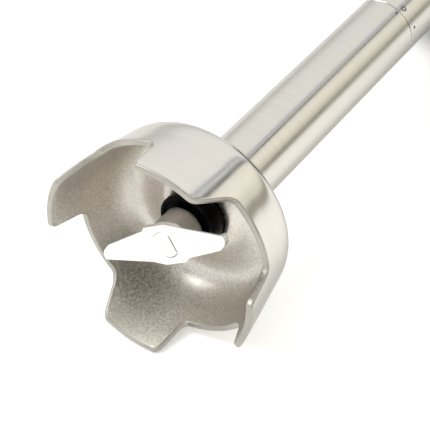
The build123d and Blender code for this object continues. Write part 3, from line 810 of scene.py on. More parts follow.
# ------------------------------------------------------------------ bell
@dataclass
class BellGuard:
    """Slotted steel bell: four tabs round the blade, a skirt and a shoulder.

    Args:
        wall: Thickness of the steel in millimetres.
        rim_radius: Outer radius at the rim.
        skirt_end: Station where the skirt turns into the shoulder.
        skirt_radius: Outer radius there.
        back: Station of the back of the bell.
        hub_face: Station of the inside face round the hub hole.
        hub_hole: Radius of the hub hole.
        tabs: Number of tabs.
        notch_middle: Angle of the first notch's middle, in degrees.
        notch_top: Station of a notch's flat top.
        bend_station: Station where a notch's sides turn into its top.
        outer_round: Rounding of the edge on the outside.
        inner_round: Rounding of the edge on the inside.
        pitch: Distance between points along the edge.
    """

    wall: float = 2.1
    rim_radius: float = outer_radius("bell_guard")
    skirt_end: float = 18.8
    skirt_radius: float = 32.4
    back: float = span("bell_guard")[1]
    hub_face: float = 26.8
    hub_hole: float = 9.6
    tabs: int = 4
    notch_middle: float = -33.0
    notch_top: float = 12.9
    bend_station: float = 9.0
    outer_round: float = 0.65
    inner_round: float = 0.5
    pitch: float = 0.55

    def edge_path(self) -> list[Point]:
        """Angle and station along the sheet's edge, once round.

        Returns:
            The points in order of angle.
        """
        corner, top, bend = 2.8, self.notch_top, self.bend_station
        knots = [(-45.0, 0.0), *bezier(12, (-31.4, 0.0), (-28.1, 0.0), (-25.6, corner))]
        knots += bezier(18, (-20.1, bend), (-16.7, top - 0.3), (-13.0, top))
        knots += bezier(18, (22.0, top), (25.7, top - 0.1), (26.4, bend))
        knots += [*bezier(12, (27.85, corner), (28.5, 0.0), (31.4, 0.0)), (45.0, 0.0)]
        quarter: list[Point] = []
        for here, there in zip(knots, knots[1:]):
            length = math.hypot(math.radians(there[0] - here[0]) * self.rim_radius, there[1] - here[1])
            steps = max(1, round(length / self.pitch))
            quarter += bezier(steps, here, there)[:-1]
        starts = [self.notch_middle + 360 / self.tabs * tab for tab in range(self.tabs)]
        return [(start + angle, where) for start in starts for angle, where in quarter]

    def skirt_at(self, where: float) -> float:
        """Outer radius of the skirt at a station.

        Args:
            where: The station.

        Returns:
            The radius in millimetres.
        """
        share = where / self.skirt_end
        bow = (self.rim_radius + self.skirt_radius) / 2 + 0.22
        rim, end = self.rim_radius, self.skirt_radius
        return (1 - share) ** 2 * rim + 2 * share * (1 - share) * bow + share**2 * end

    def shoulder(self) -> list[Point]:
        """Stations and radii of the outside from the skirt's end to the tube.

        Returns:
            The points in order.
        """
        end, radius = self.skirt_end, self.skirt_radius
        fall = (self.back - end) * 0.92
        pull = (end + fall, radius - 0.18 * fall)
        return bezier(30, (end, radius), pull, (self.back, radius - 0.4), (self.back, TUBE_BACK))

    def bowl(self) -> list[Point]:
        """Stations and radii of the inside from the skirt's end to the hub's face.

        Returns:
            The points in order.
        """
        end, radius = self.skirt_end, self.skirt_radius - self.wall
        deep, face = self.back - self.wall - 0.4, self.hub_face
        turn = (deep - 0.6, 18.5)
        bowl = bezier(36, (end, radius), (end + 7.6, radius - 1.2), (deep + 1.6, 26.0), turn)
        return bowl + bezier(12, turn, (deep - 1.5, 15.4), (face, 13.6), (face, 11.2))[1:]

    def build(self) -> Piece:
        """Build the bell as one closed sheet with rounded edges.

        Returns:
            The bell, with its outside, inside and edge in three material slots.
        """
        path = self.edge_path()
        scale = math.radians(self.rim_radius)
        inward = []
        for before, after in zip(path[-1:] + path[:-1], path[1:] + path[:1]):
            step = complex((after[0] - before[0] + 360) % 360 * scale, after[1] - before[1])
            inward.append(step * 1j / abs(step))
        outer, inner = self.outer_round, self.inner_round

        def edge_row(back: float, depth: float, share: float = 0.0) -> list[Vector]:
            """Ring some millimetres back from the edge and a share of the way to the skirt's end.

            Args:
                back: Millimetres back from the edge.
                depth: Millimetres under the outside.
                share: Share of the way from there to the skirt's end.

            Returns:
                The ring.
            """
            ring = []
            for (angle, where), way in zip(path, inward):
                start = where + way.imag * back
                at = start + (self.skirt_end - start) * share
                turn = angle + way.real * back * (1 - share) / scale
                ring.append(SHAFT.at(at, self.skirt_at(max(at, 0.0)) - depth, turn))
            return ring

        def full_row(at: float, radius: float) -> list[Vector]:
            """Plain ring at a station and radius."""
            return [SHAFT.at(at, radius, angle) for angle, _ in path]

        corner = [(1 - math.cos(a), 1 - math.sin(a)) for a in map(math.radians, (75, 60, 45, 30, 15))]
        rows = [full_row(*point) for point in reversed(self.shoulder()[1:])]
        rows += [edge_row(outer, 0.0, share / 18) for share in range(18, -1, -1)]
        outside = len(rows) - 1
        rows += [edge_row(outer * back, outer * depth) for back, depth in corner]
        rows += [edge_row(0.0, outer), edge_row(0.0, self.wall - inner)]
        rows += [edge_row(inner * back, self.wall - inner * depth) for back, depth in reversed(corner)]
        inside = len(rows)
        rows += [edge_row(inner, self.wall, share / 18) for share in range(19)]
        rows += [full_row(*point) for point in self.bowl()[1:]]
        hole, tube_end, lip = self.hub_hole, 30.0, 0.3
        rows += [full_row(self.hub_face, hole + lip), full_row(self.hub_face + lip, hole)]
        rows += [full_row(tube_end, hole), full_row(tube_end, TUBE_BACK)]
        bell = grid_object("steel_bell", rows, caps=False)
        dress(bell, Finish.BELL_OUTSIDE, Finish.BELL_INSIDE, Finish.BELL_EDGE)
        slots = []
        for row in range(len(rows)):
            slots += [0 if row < outside else (2 if row < inside else 1)] * len(path)
        bell.data.polygons.foreach_set("material_index", slots)
        return mount(bell, "foot", "bell_guard")


# ------------------------------------------------------------------ blade
@dataclass
class Blade:
    """Two-winged blade on the end of the drive shaft.

    Args:
        face: Station of its front.
        thickness: Thickness of the steel.
        angle: Angle of its length round the shaft line.
        bend: Degrees that each wing leans to the rim, first the one along +Y.
        bend_from: Distance from the middle where the bend starts.
        wing: Corners of one wing as (along, across, rounding); the other is its half-turn copy.
        grind: Width of the ground edge.
        edge: Thickness left at the ground edge.
        blunt: Chamfer along the other edges.
        tip_radius: Radius of the hole for the shaft's tip.
        tip_flat: Distance from the middle to the hole's flats.
        slack: Gap at one of the flats.
    """

    face: float = 9.9
    thickness: float = 1.8
    angle: float = -31.5
    bend: tuple[float, float] = (4.5, 6.5)
    bend_from: float = 7.5
    wing: tuple[tuple[float, float, float], ...] = (
        (3.5, -6.65, 0.8),
        (8.6, -5.1, 3.0),
        (25.9, -1.8, 0.5),
        (25.6, 0.0, 0.8),
        (24.6, 1.3, 0.8),
        (22.0, 2.8, 1.5),
        (6.4, 5.3, 0.8),
        (4.9, 6.4, 0.6),
    )
    grind: float = 2.3
    edge: float = 0.5
    blunt: float = 0.14
    tip_radius: float = 4.42
    tip_flat: float = 3.35
    slack: float = 0.22

    def outline(self) -> list[Point]:
        """Outline of both wings, closed, with its corners rounded.

        Returns:
            The points in order.
        """
        both = [*self.wing, *((-x, -y, radius) for x, y, radius in self.wing)]
        start = ((both[-1][0] + both[0][0]) / 2, (both[-1][1] + both[0][1]) / 2, 0.0)
        return rounded([start, *both, start], 0.6)[:-1]

    def lift(self, along: float, across: float, at: float) -> Vector:
        """Place a point of the flat blade, bent, on the shaft line.

        Args:
            along: Distance along the blade.
            across: Distance across it.
            at: Station before the bend.

        Returns:
            The point in metres.
        """
        beyond = max(0.0, abs(along) - self.bend_from)
        way = math.copysign(1.0, along)
        tilt = math.radians(self.bend[0] if way > 0 else self.bend[1]) * min(1.0, beyond / 3.0)
        reach = along - way * beyond * (1 - math.cos(tilt)) + way * math.sin(tilt) * (at - self.face)
        spot = complex(reach, across) * cmath.rect(1.0, math.radians(self.angle))
        return SHAFT.beside(at - beyond * math.sin(tilt), spot.real, spot.imag)

    def keen(self, along: float, way: float) -> float:
        """How fully the edge is ground, from 0 to 1, where its outward direction across is way.

        Args:
            along: Distance along the blade.
            way: Part across the blade of the outward direction.

        Returns:
            The share.
        """
        leads = -way * math.copysign(1.0, along)
        wing = clamped((abs(along) - 7.0) / 2.5) * clamped(25.3 - abs(along))
        return clamped((leads - 0.55) / 0.3) * wing

    def hole(self) -> Piece:
        """Cutter for the hole that the shaft's flattened tip sits in, a little off centre.

        Returns:
            The cutter.
        """
        flat, radius = self.tip_flat, self.tip_radius
        ring = [(max(-flat, min(flat, radius * math.cos(t))), radius * math.sin(t)) for t in turns(96)]
        ends = (self.face - 2.0, self.face + self.thickness + 2.0)
        rows = [[self.lift(x - self.slack / 2, y, at) for x, y in ring] for at in ends]
        return grid_object("tip_hole", rows)

    def build(self) -> Piece:
        """Build the blade with its ground edges and bend.

        Returns:
            The blade.
        """
        path = self.outline()
        shape = bmesh.new()
        rings: list[list[bmesh.types.BMVert]] = [[], [], []]
        back = self.face + self.thickness
        for (along, across), before, after in zip(path, path[-1:] + path[:-1], path[1:] + path[:1]):
            out = Vector((after[1] - before[1], before[0] - after[0])).normalized()
            keen = self.keen(along, out.y)
            inset = self.blunt + self.grind * keen
            lip = back - self.blunt - (self.thickness - self.edge - self.blunt) * keen
            corners = ((along, across, self.face), (along, across, lip))
            for ring, spot in zip(rings, (*corners, (along - out.x * inset, across - out.y * inset, back))):
                ring.append(shape.verts.new(spot))
        for upper, lower in zip(rings, rings[1:]):
            for index in range(len(path)):
                after = (index + 1) % len(path)
                shape.faces.new((upper[index], upper[after], lower[after], lower[index]))
        shape.faces.new(rings[0])
        shape.faces.new(rings[2])
        for where in (-20.0, -15.0, -10.5, -9.5, -8.5, -7.5, 7.5, 8.5, 9.5, 10.5, 15.0, 20.0):
            geometry = shape.verts[:] + shape.edges[:] + shape.faces[:]
            bmesh.ops.bisect_plane(shape, geom=geometry, plane_co=(where, 0, 0), plane_no=(1, 0, 0))
        for vert in shape.verts:
            vert.co = self.lift(*vert.co)
        blade = finished_mesh("two_wing_blade", shape)
        carve(blade, self.hole())
        soften(blade, 0.12, 2, 12.0)
        dress(blade, Finish.BLADE)
        return mount(blade, "drive_line", "blade")


# ------------------------------------------------------------------ tube and neck
@dataclass
class ShaftTube:
    """Plain steel tube from the bell to the joint, and the neck behind the joint.

    Args:
        chamfer: Chamfer at both sides of the joint's seam.
        tube_bore: Inner radius of the tube.
        neck_bore: Inner radius of the neck.
        steps: Columns round the shaft line.
    """

    chamfer: float = 0.1
    tube_bore: float = 10.6
    neck_bore: float = 11.2
    steps: int = 224

    def sleeve(self, name: str, node: str, bore: float, body: str) -> Piece:
        """Build one length of tube with a chamfer at each end.

        Args:
            name: The piece's name.
            node: The CAD node that it replaces.
            bore: Inner radius.
            body: The body that carries it.

        Returns:
            The tube.
        """
        start, end = span(node)
        radius, cut = outer_radius(node), self.chamfer
        steps = max(2, round((end - start) / 4))
        outline = [(start, bore), (start, radius - cut)]
        outline += bezier(steps, (start + cut, radius), (end - cut, radius))
        outline += [(end, radius - cut), (end, bore)]
        return fit(turned(name, outline, self.steps), 30.0, Finish.TUBE, body, node)

    def ring(self) -> Piece:
        """Build the bright ring between the neck and the handle.

        Returns:
            The ring.
        """
        start, end = span("neck_ring")
        low, high = outer_radius("neck_sleeve") + 0.05, outer_radius("neck_ring")
        outline = [(start, low), *bezier(8, (start, 12.5), (start + 0.1, high), (start + 1.2, high))]
        outline += [*bezier(6, (end - 0.5, high), (end, high), (end, high - 0.4)), (end, low)]
        return fit(turned("neck_bead", outline, self.steps), 50.0, Finish.CHROME, "motor_unit", "neck_ring")

    def mark(self, name: str, body: str, at: float, angle: float, size: float) -> Piece:
        """Raise a plain round mark on the tube's surface, hollow if it is larger than a dot.

        Args:
            name: The mark's name.
            body: The body that carries it.
            at: Station of its middle.
            angle: Angle round the shaft line.
            size: Its radius.

        Returns:
            The mark.
        """
        hollow, radius = size > 1.0, outer_radius("neck_sleeve")
        profile = [(size, -0.1), (size, 0.03), (size - 0.12, 0.045)]
        if hollow:
            profile += [(size * 0.55, 0.045), (size * 0.5, 0.03), (size * 0.5, -0.1)]
        else:
            profile.append((0.01, 0.045))
        rows = []
        for reach, rise in profile:
            spots = [(reach * math.cos(t), math.degrees(reach * math.sin(t) / radius)) for t in turns(40)]
            rows.append([SHAFT.at(at + along, radius + rise, angle + round_by) for along, round_by in spots])
        return fit(grid_object(name, rows, caps=not hollow), 180.0, Finish.MARK, body)

    def build(self) -> None:
        """Build the tube, the neck, the ring and the alignment marks at the seam."""
        seam = span("neck_sleeve")[0]
        self.sleeve("steel_tube", "shaft_tube", self.tube_bore, "foot")
        self.sleeve("steel_neck", "neck_sleeve", self.neck_bore, "motor_unit")
        self.ring()
        self.mark("foot_mark", "foot", seam - 1.9, 119.0, 0.55)
        self.mark("lock_mark", "motor_unit", seam + 2.6, 122.0, 1.15)
        self.mark("free_mark", "motor_unit", seam + 2.6, 160.0, 0.55)


# ------------------------------------------------------------------ handle
@dataclass(frozen=True)
class Section:
    """Section across the handle, measured from the shaft line.

    Args:
        half_width: Half of its width.
        low: Height of its underside.
        high: Height of its top.
        corner: Corner radius.
    """

    half_width: float
    low: float
    high: float
    corner: float

    def half(self, inset: float) -> list[Point]:
        """Outline of the +Y half, from the top seam to the bottom seam.

        Args:
            inset: Distance inside the surface.

        Returns:
            (Y, height) points.
        """
        wide, low, high = self.half_width - inset, self.low + inset, self.high - inset
        corner = min(self.corner - inset, wide - 0.05, (high - low) / 2 - 0.05)
        flat = wide - corner
        points = [(flat * step / 6, high) for step in range(6)]
        for centre, first in ((high - corner, 90.0), (low + corner, 0.0)):
            arc = turns(19, first, -95.0)
            points += [(flat + corner * math.cos(t), centre + corner * math.sin(t)) for t in arc]
        return points + [(flat * (1 - step / 6), low) for step in range(1, 7)]

    def whole(self, inset: float) -> list[Point]:
        """Closed outline, once round."""
        right = self.half(inset)
        return right + [(-y, z) for y, z in reversed(right[1:-1])]

    def top(self, across: float) -> float:
        """Height of the upper surface at a distance from the seam."""
        over = max(0.0, abs(across) - (self.half_width - self.corner))
        return self.high - self.corner + math.sqrt(max(0.0, self.corner**2 - over**2))


@dataclass(frozen=True)
class RoundSlot:
    """Outline with straight sides and round ends, along the handle's top or underside.

    Args:
        start: Station of its first end.
        end: Station of its last end.
        half: Half of its width.
    """

    start: float
    end: float
    half: float

    def grown(self, by: float) -> "RoundSlot":
        """The same outline, larger all round."""
        return RoundSlot(self.start - by, self.end + by, self.half + by)

    def width(self, at: float) -> float:
        """Half width at a station."""
        short = max(0.0, self.half - min(at - self.start, self.end - at))
        return math.sqrt(max(0.0, self.half**2 - short**2))

    def stations(self) -> list[float]:
        """Stations along it, close together at its ends.

        Returns:
            The stations in order.
        """
        curve = [self.half * (1 - math.cos(math.radians(angle))) for angle in range(4, 91, 4)]
        length = self.end - self.start - 2 * self.half
        middle = [self.start + self.half + length * step / 28 for step in range(1, 28)]
        return [self.start + c for c in curve] + middle + [self.end - c for c in reversed(curve)]


@dataclass
class HandleCasing:
    """Motor handle: two moulded shells, soft top panel, rest pad, end cap and cord gland.

    Args:
        form: Stations, and the half width, low, high and corner radius there.
        wall: Thickness of the shells.
        seam: Width of the chamfer along the parting line.
        panel: Outline of the soft panel.
        pad: Outline of the rest pad.
        vents: Number of air slots a side, station of their middle, pitch, length and width.
        screws: Station and height of each housing screw.
        dial_slot: Station, half length and half width of the dial's slot.
    """

    form: tuple[tuple[float, float, float, float, float], ...] = (
        (183.0, 13.6, -13.6, 13.6, 13.5),
        (194.0, 25.0, -25.0, 23.0, 18.0),
        (207.0, 30.5, -31.5, 29.0, 22.0),
        (226.0, 31.5, -35.0, 30.5, 24.0),
        (262.0, 31.0, -35.0, 29.5, 23.5),
        (278.0, 30.0, -35.0, 29.4, 23.0),
        (294.0, 27.5, -35.0, 26.6, 22.5),
        (320.0, 26.5, -35.0, 26.0, 22.0),
        (350.0, 26.0, -35.0, 26.0, 22.0),
        (386.0, 26.5, -35.0, 26.0, 22.0),
    )
    wall: float = 2.4
    seam: float = 0.3
    panel: RoundSlot = RoundSlot(286.0, 383.5, 16.0)
    pad: RoundSlot = RoundSlot(240.0, 380.0, 13.0)
    vents: tuple[int, float, float, float, float] = (6, 233.0, 5.0, 20.0, 2.2)
    screws: tuple[Point, ...] = ((290.0, 12.0), (290.0, 50.0), (379.0, 12.0))
    dial_slot: tuple[float, float, float] = (370.0, 11.0, 4.1)

    def slope(self, row: int, column: int) -> float:
        """Slope of the form at one of its rows, so chosen that a curve never overshoots.

        Args:
            row: Row of the form.
            column: Column of the form.

        Returns:
            The slope.
        """
        pairs = zip(self.form[max(0, row - 1) : row + 1], self.form[max(1, row) : row + 2])
        sides = [(there[column] - here[column]) / (there[0] - here[0]) for here, there in pairs]
        left, right = sides[0], sides[-1]
        return 0.0 if left * right <= 0 else 2 * left * right / (left + right)

    def section(self, at: float) -> Section:
        """Section at any station, on a smooth curve through the form.

        Args:
            at: Station, between the form's first and last.

        Returns:
            The section there.
        """
        index = max(0, min(len(self.form) - 2, sum(row[0] <= at for row in self.form) - 1))
        start, end = self.form[index : index + 2]
        gap = end[0] - start[0]
        share = (at - start[0]) / gap
        ease = share * share * (3 - 2 * share)
        leave, arrive = share * (1 - share) ** 2 * gap, share * share * (share - 1) * gap
        values = []
        for column in range(1, 5):
            value = start[column] + (end[column] - start[column]) * ease
            values.append(value + leave * self.slope(index, column) + arrive * self.slope(index + 1, column))
        return Section(*values)

    def half_shell(self, name: str, side: int) -> Piece:
        """Build one shell, uncut, with a chamfer along the parting line.

        Args:
            name: The piece's name.
            side: 1 for the shell on +Y and -1 for the other.

        Returns:
            The shell.
        """
        first, last = self.form[0][0], self.form[-1][0]
        seam, play, thin_to, thin = self.seam, 0.02, 193.0, 1.75
        rows = []
        for step in range(136):
            at = first + (last - first) * step / 135
            section = self.section(at)
            outer = section.half(0.0)
            inner = section.half(thin if at < thin_to else self.wall)
            top, bottom = outer[0][1], outer[-1][1]
            ring = [(play, top - seam), (seam, top), *outer[1:-1], (seam, bottom), (play, bottom + seam)]
            ring += [(play, inner[-1][1]), *reversed(inner[1:-1]), (play, inner[0][1])]
            rows.append([SHAFT.beside(at, side * across, height) for across, height in ring])
        return grid_object(name, rows)

    def prism(self, outline: Sequence[Vector], way: Sequence[float]) -> Piece:
        """Straight cutter from an outline and a direction."""
        return grid_object("cutter", [list(outline), [point + Vector(way) for point in outline]])

    def openings(self) -> list[Piece]:
        """Cutters for the two buttons and the dial.

        Returns:
            The cutters.
        """
        outlines, gap = [], 0.35
        for button in (POWER, TURBO):
            long, wide = button.half_length + gap, button.half_width + gap
            spots = [(button.at + long * math.cos(t), wide * math.sin(t)) for t in turns(96)]
            outlines.append([SHAFT.beside(at, across, 5.0) for at, across in spots])
        at, long, wide = self.dial_slot
        corner, spots = 1.2, []
        for x, y, first in ((-1, -1, 180), (1, -1, 270), (1, 1, 0), (-1, 1, 90)):
            for turn in turns(7, first, 105.0):
                across = y * (wide - corner) + corner * math.sin(turn)
                spots.append(SHAFT.beside(at + x * (long - corner) + corner * math.cos(turn), across, 5.0))
        return [self.prism(outline, (0, 0, 0.035)) for outline in (*outlines, spots)]

    def vent_cuts(self, side: int) -> list[Piece]:
        """Cutters for the air slots of one side.

        Args:
            side: 1 for the shell on +Y and -1 for the other.

        Returns:
            The cutters.
        """
        number, middle, pitch, length, width = self.vents
        cutters = []
        for index in range(number):
            at = middle + (index - (number - 1) / 2) * pitch
            ring = []
            for step, turn in enumerate(turns(32)):
                rise = (length - width) / 2 * (1 if step < 16 else -1) + width / 2 * math.sin(turn)
                ring.append(SHAFT.beside(at + width / 2 * math.cos(turn), side * 14.0, rise))
            cutters.append(self.prism(ring, (0, side * 0.03, 0)))
        return cutters

    def screw_cuts(self) -> list[Piece]:
        """Cutters for the screws' recesses in the -Y shell.

        Returns:
            The cutters.
        """
        radius, face, cutters = 2.9, -20.5, []
        for at, height in self.screws:
            spots = [(at + radius * math.cos(t), height + radius * math.sin(t)) for t in turns(40)]
            cutters.append(self.prism([WORKTOP.beside(x, face, z) for x, z in spots], (0, -0.02, 0)))
        return cutters

    def panel_sheet(self, slot: RoundSlot, low: float, high: float, rim: float) -> Piece:
        """Sheet that follows the handle's top inside a round-ended outline.

        Args:
            slot: The outline.
            low: Height of the underside from the handle's surface.
            high: Height of the upper side from the handle's surface.
            rim: Height at the very edge.

        Returns:
            The sheet.
        """
        shares = [-1.0, -0.985, -0.95, *(step / 12 for step in range(-11, 12)), 0.95, 0.985, 1.0]
        rows = []
        for at in slot.stations():
            section = self.section(min(at, self.form[-1][0]))
            tip = clamped(min(at - slot.start, slot.end - at) / 0.6)
            top, bottom = [], []
            for share in shares:
                across = share * slot.width(at)
                surface = section.top(across)
                edge = min(1.0, (1 - abs(share)) * slot.width(at) / 0.7) * tip
                lift = rim + (high - rim) * math.sqrt(1 - (1 - edge) ** 2)
                top.append(SHAFT.beside(at, across, surface + lift))
                bottom.append(SHAFT.beside(at, across, surface + low))
            rows.append(top + bottom[::-1])
        return grid_object("soft_panel", rows)

    def pad_block(self, slot: RoundSlot, low: float, high: float, ease: float) -> Piece:
        """Flat round-ended pad between two heights above the worktop, with eased lower edges.

        Args:
            slot: Outline of the pad.
            low: Height of its underside.
            high: Height of its top.
            ease: Size of the easing.

        Returns:
            The pad.
        """
        centres = ((self.pad.end - self.pad.half, -90.0), (self.pad.start + self.pad.half, 90.0))
        rings = []
        for height, inset in ((low, ease), (low + ease * 0.3, ease * 0.3), (low + ease, 0.0), (high, 0.0)):
            ring, reach = [], slot.half - inset
            for centre, first in centres:
                for turn in turns(37, first, 185.0):
                    at, across = centre + reach * math.cos(turn), reach * math.sin(turn)
                    ring.append(WORKTOP.beside(at, across, height))
            rings.append(ring)
        return grid_object("rest_foot", rings)

    def shells(self) -> None:
        """Build, cut and dress both shells."""
        for name, node, side in (("left_casing", "left_shell", 1), ("right_casing", "right_shell", -1)):
            shell = self.half_shell(name, side)
            carve(shell, *self.openings(), *self.vent_cuts(side), *(self.screw_cuts() if side < 0 else ()))
            panel = self.panel_sheet(self.panel.grown(0.3), -1.25, 6.0, 6.0)
            carve(shell, panel, self.pad_block(self.pad.grown(0.15), -2.0, 1.85, 0.0))
            fit(shell, 32.0, Finish.CASING, "motor_unit", node)

    def soft_parts(self) -> None:
        """Build the top panel and the rest pad."""
        panel = self.panel_sheet(self.panel, -1.2, 0.25, -0.45)
        carve(panel, *self.openings())
        fit(panel, 42.0, Finish.GRIP, "motor_unit", "grip_panel")
        pad = self.pad_block(self.pad, 0.0, 1.8, 0.5)
        fit(pad, 50.0, Finish.SEAL, "motor_unit", "rest_pad")

    def cap(self) -> Piece:
        """Build the end cap, with a large rounding and the hole for the gland.

        Returns:
            The cap.
        """
        start, end = span("end_cap")
        section = self.section(self.form[-1][0])
        low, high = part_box("cord_gland")
        centre = (low.z + high.z) / 2 / MM - SHAFT.height / MM
        rounding, wall, rim = 5.0, 3.0, 8.6

        def outline(at: float, inset: float) -> list[Vector]:
            """Ring along the handle's outline."""
            return [SHAFT.beside(at, across, height) for across, height in section.whole(inset)]

        def hole(at: float, radius: float) -> list[Vector]:
            """Ring round the gland's hole, point for point with the outline.

            Args:
                at: The station.
                radius: Radius of the ring.

            Returns:
                The ring.
            """
            ring = []
            for across, height in section.whole(rounding):
                bearing = math.atan2(height - centre, across)
                spot = (radius * math.cos(bearing), centre + radius * math.sin(bearing))
                ring.append(SHAFT.beside(at, *spot))
            return ring

        rows = [outline(start, 0.25), outline(start + 0.25, 0.0)]
        for turn in map(math.radians, range(0, 91, 9)):
            rows.append(outline(end - rounding * (1 - math.sin(turn)), rounding * (1 - math.cos(turn))))
        flat, ring = rows[-1], hole(end, rim)
        rows += [[p.lerp(q, share) for p, q in zip(flat, ring)] for share in (0.25, 0.5, 0.75)]
        rows += [ring, hole(end - 0.5, 8.0), hole(end - 0.6, 6.3), hole(end - 5.0, 6.3)]
        rows += [outline(end - 5.0, wall), outline(start, wall)]
        return fit(grid_object("rear_cap", rows, caps=False), 34.0, Finish.CASING, "motor_unit", "end_cap")

    def gland(self) -> Piece:
        """Build the rubber bush that the lead passes through, with three soft ribs.

        Returns:
            The bush.
        """
        low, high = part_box("cord_gland")
        line = ShaftLine(SHAFT.rim_x, (low.z + high.z) / 2)
        start, end = span("cord_gland")
        bore, flange, waist = 3.6, 8.5, 6.2
        outline = [(start, bore), (start, flange - 0.3), (start + 0.3, flange), (start + 2.3, flange)]
        outline += [(start + 2.5, waist), (end - 4.0, waist), (end - 3.9, 7.3)]
        for rib in range(3):
            base, less = end - 3.7 + rib * 1.1, rib * 0.25
            outline += bezier(5, (base, 7.4 - less), (base + 0.5, 7.55 - less), (base + 0.8, 7.3 - less))
            outline.append((base + 0.95, 6.9 - less))
        outline += [(end - 0.3, 6.5), (end, 6.1), (end, bore + 0.5), (end - 0.4, bore)]
        bush = turned("lead_bush", outline, 96, line)
        return fit(bush, 40.0, Finish.SEAL, "motor_unit", "cord_gland")

    def build(self) -> None:
        """Build the whole casing."""
        self.shells()
        self.soft_parts()
        self.cap()
        self.gland()


# ------------------------------------------------------------------ controls
@dataclass
class PushButton:
    """Oval push button with a dished top and raised dots to feel for.

    Args:
        node: The CAD node that it replaces.
        body: The body that carries it.
        at: Station of its middle.
        half_length: Half of its length along the handle.
        half_width: Half of its width.
        dots: Number of raised dots.
        round: Rounding of the top's edge.
        post: Radius of the post that presses the switch.
        depth: Height of the cap above its flange.
        flange: How far the flange stands out, and its thickness.
    """

    node: str
    body: str
    at: float
    half_length: float
    half_width: float
    dots: int
    round: float = 1.4
    post: float = 2.2
    depth: float = 5.3
    flange: tuple[float, float] = (1.5, 1.4)

    def ring(self, at: float, long: float, wide: float, height: float, count: int) -> list[Vector]:
        """Level ellipse round a station, at a height above the worktop."""
        return [WORKTOP.beside(at + long * math.cos(t), wide * math.sin(t), height) for t in turns(count)]

    def build(self) -> None:
        """Build the cap, its flange, the post under it and the dots."""
        low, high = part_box(self.node)
        bottom, top = low.z / MM, high.z / MM
        post, (out, thick), soft = self.post, self.flange, self.round
        base, wide, long = top - self.depth, self.half_width, self.half_length
        profile = [(post, post, bottom), (post, post, base - thick), (long + out, wide + out, base - thick)]
        profile += [(long + out, wide + out, base), (long, wide, base)]
        for turn in map(math.radians, range(0, 91, 10)):
            inset = soft * (1 - math.cos(turn))
            profile.append((long - inset, wide - inset, top - soft * (1 - math.sin(turn))))
        for share in (1 - step / 12 for step in range(1, 12)):
            dip = 0.55 * (1 - share**2) ** 1.5
            profile.append(((long - soft) * share, (wide - soft) * share, top - dip))
        rows = [self.ring(self.at, x, y, z, 112) for x, y, z in profile]
        fit(grid_object(f"{self.node}_cap", rows), 40.0, Finish.BUTTON, self.body, self.node)
        for index in range(self.dots):
            at = self.at + (index - (self.dots - 1) / 2) * 3.0
            rings = []
            for turn in turns(7, 0.0, 105.0):
                reach, rise = 0.7 * math.cos(turn), 0.28 * math.sin(turn)
                rings.append(self.ring(at, reach, reach, top - 0.56 + rise, 24))
            fit(grid_object(f"{self.node}_dot_{index + 1}", rings), 180.0, Finish.MARK, self.body)


POWER = PushButton("power_button", "power_key", 308.0, 13.0, 7.5, 1)
TURBO = PushButton("turbo_button", "turbo_key", 338.0, 10.0, 7.5, 3)


@dataclass
class ReturnSpring:
    """Coil spring under a button, built to the height of its CAD node.

    Args:
        node: The CAD node that it replaces.
        joint: The button's joint; not used.
        stroke: How far the button moves, in millimetres; not used.
        coil: Radius of the coil.
        wire: Radius of the wire.
        count: Number of turns.
    """

    node: str
    joint: str
    stroke: float = 2.6
    coil: float = 3.4
    wire: float = 0.35
    count: int = 4

    def build(self) -> None:
        """Build the coil with a nearly flat turn at each end."""
        low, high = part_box(self.node)
        foot = Vector(((low.x + high.x) / 2, (low.y + high.y) / 2, low.z + self.wire * MM))
        rise = high.z - low.z - 2 * self.wire * MM
        steps = self.count * 32
        rows = []
        for step in range(steps + 1):
            turn = 2 * math.pi * self.count * step / steps
            out = Vector((math.cos(turn), math.sin(turn), 0.0))
            up = Vector((0.0, 0.0, 1.0))
            middle = foot + out * self.coil * MM + up * rise * clamped((step / steps - 0.1) / 0.8)
            spokes = [out * math.cos(t) + up * math.sin(t) for t in turns(10)]
            rows.append([middle + spoke * self.wire * MM for spoke in spokes])
        spring = fit(grid_object(f"{self.node}_coil", rows), 180.0, Finish.SPRING, "motor_unit", self.node)
        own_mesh(spring)


@dataclass
class SpeedDial:
    """Ridged thumb wheel that stands out of the handle's top.

    Args:
        ridges: Number of ridges.
        depth: Depth of the grooves between them.
        bore: Radius of the hole for the control's spindle.
    """

    ridges: int = 36
    depth: float = 0.7
    bore: float = 3.0

    def build(self) -> Piece:
        """Build the wheel with rounded ridges and dished faces.

        Returns:
            The wheel.
        """
        low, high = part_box("speed_dial")
        centre, radius, half = (low + high) / 2, (high.x - low.x) / 2 / MM, (high.y - low.y) / 2 / MM
        profile = [
            (self.bore, half - 0.4, 0.0),
            (6.5, half - 0.7, 0.0),
            (radius - 2.8, half - 0.7, 0.0),
            (radius - 2.2, half, 0.0),
            (radius - 0.9, half, 0.35),
            (radius - 0.2, half - 0.7, 1.0),
            (radius, half - 1.8, 1.0),
        ]
        rows = []
        for reach, y, share in [*profile, *((reach, -y, share) for reach, y, share in reversed(profile))]:
            ring = []
            for turn in turns(self.ridges * 10):
                wave = (0.5 - 0.5 * math.cos(self.ridges * turn)) ** 2
                out = reach - self.depth * share * wave
                ring.append(centre + Vector((out * math.cos(turn), y, out * math.sin(turn))) * MM)
            rows.append(ring)
        return fit(grid_object("thumb_wheel", rows, caps=False), 42.0, Finish.DIAL, "dial", "speed_dial")


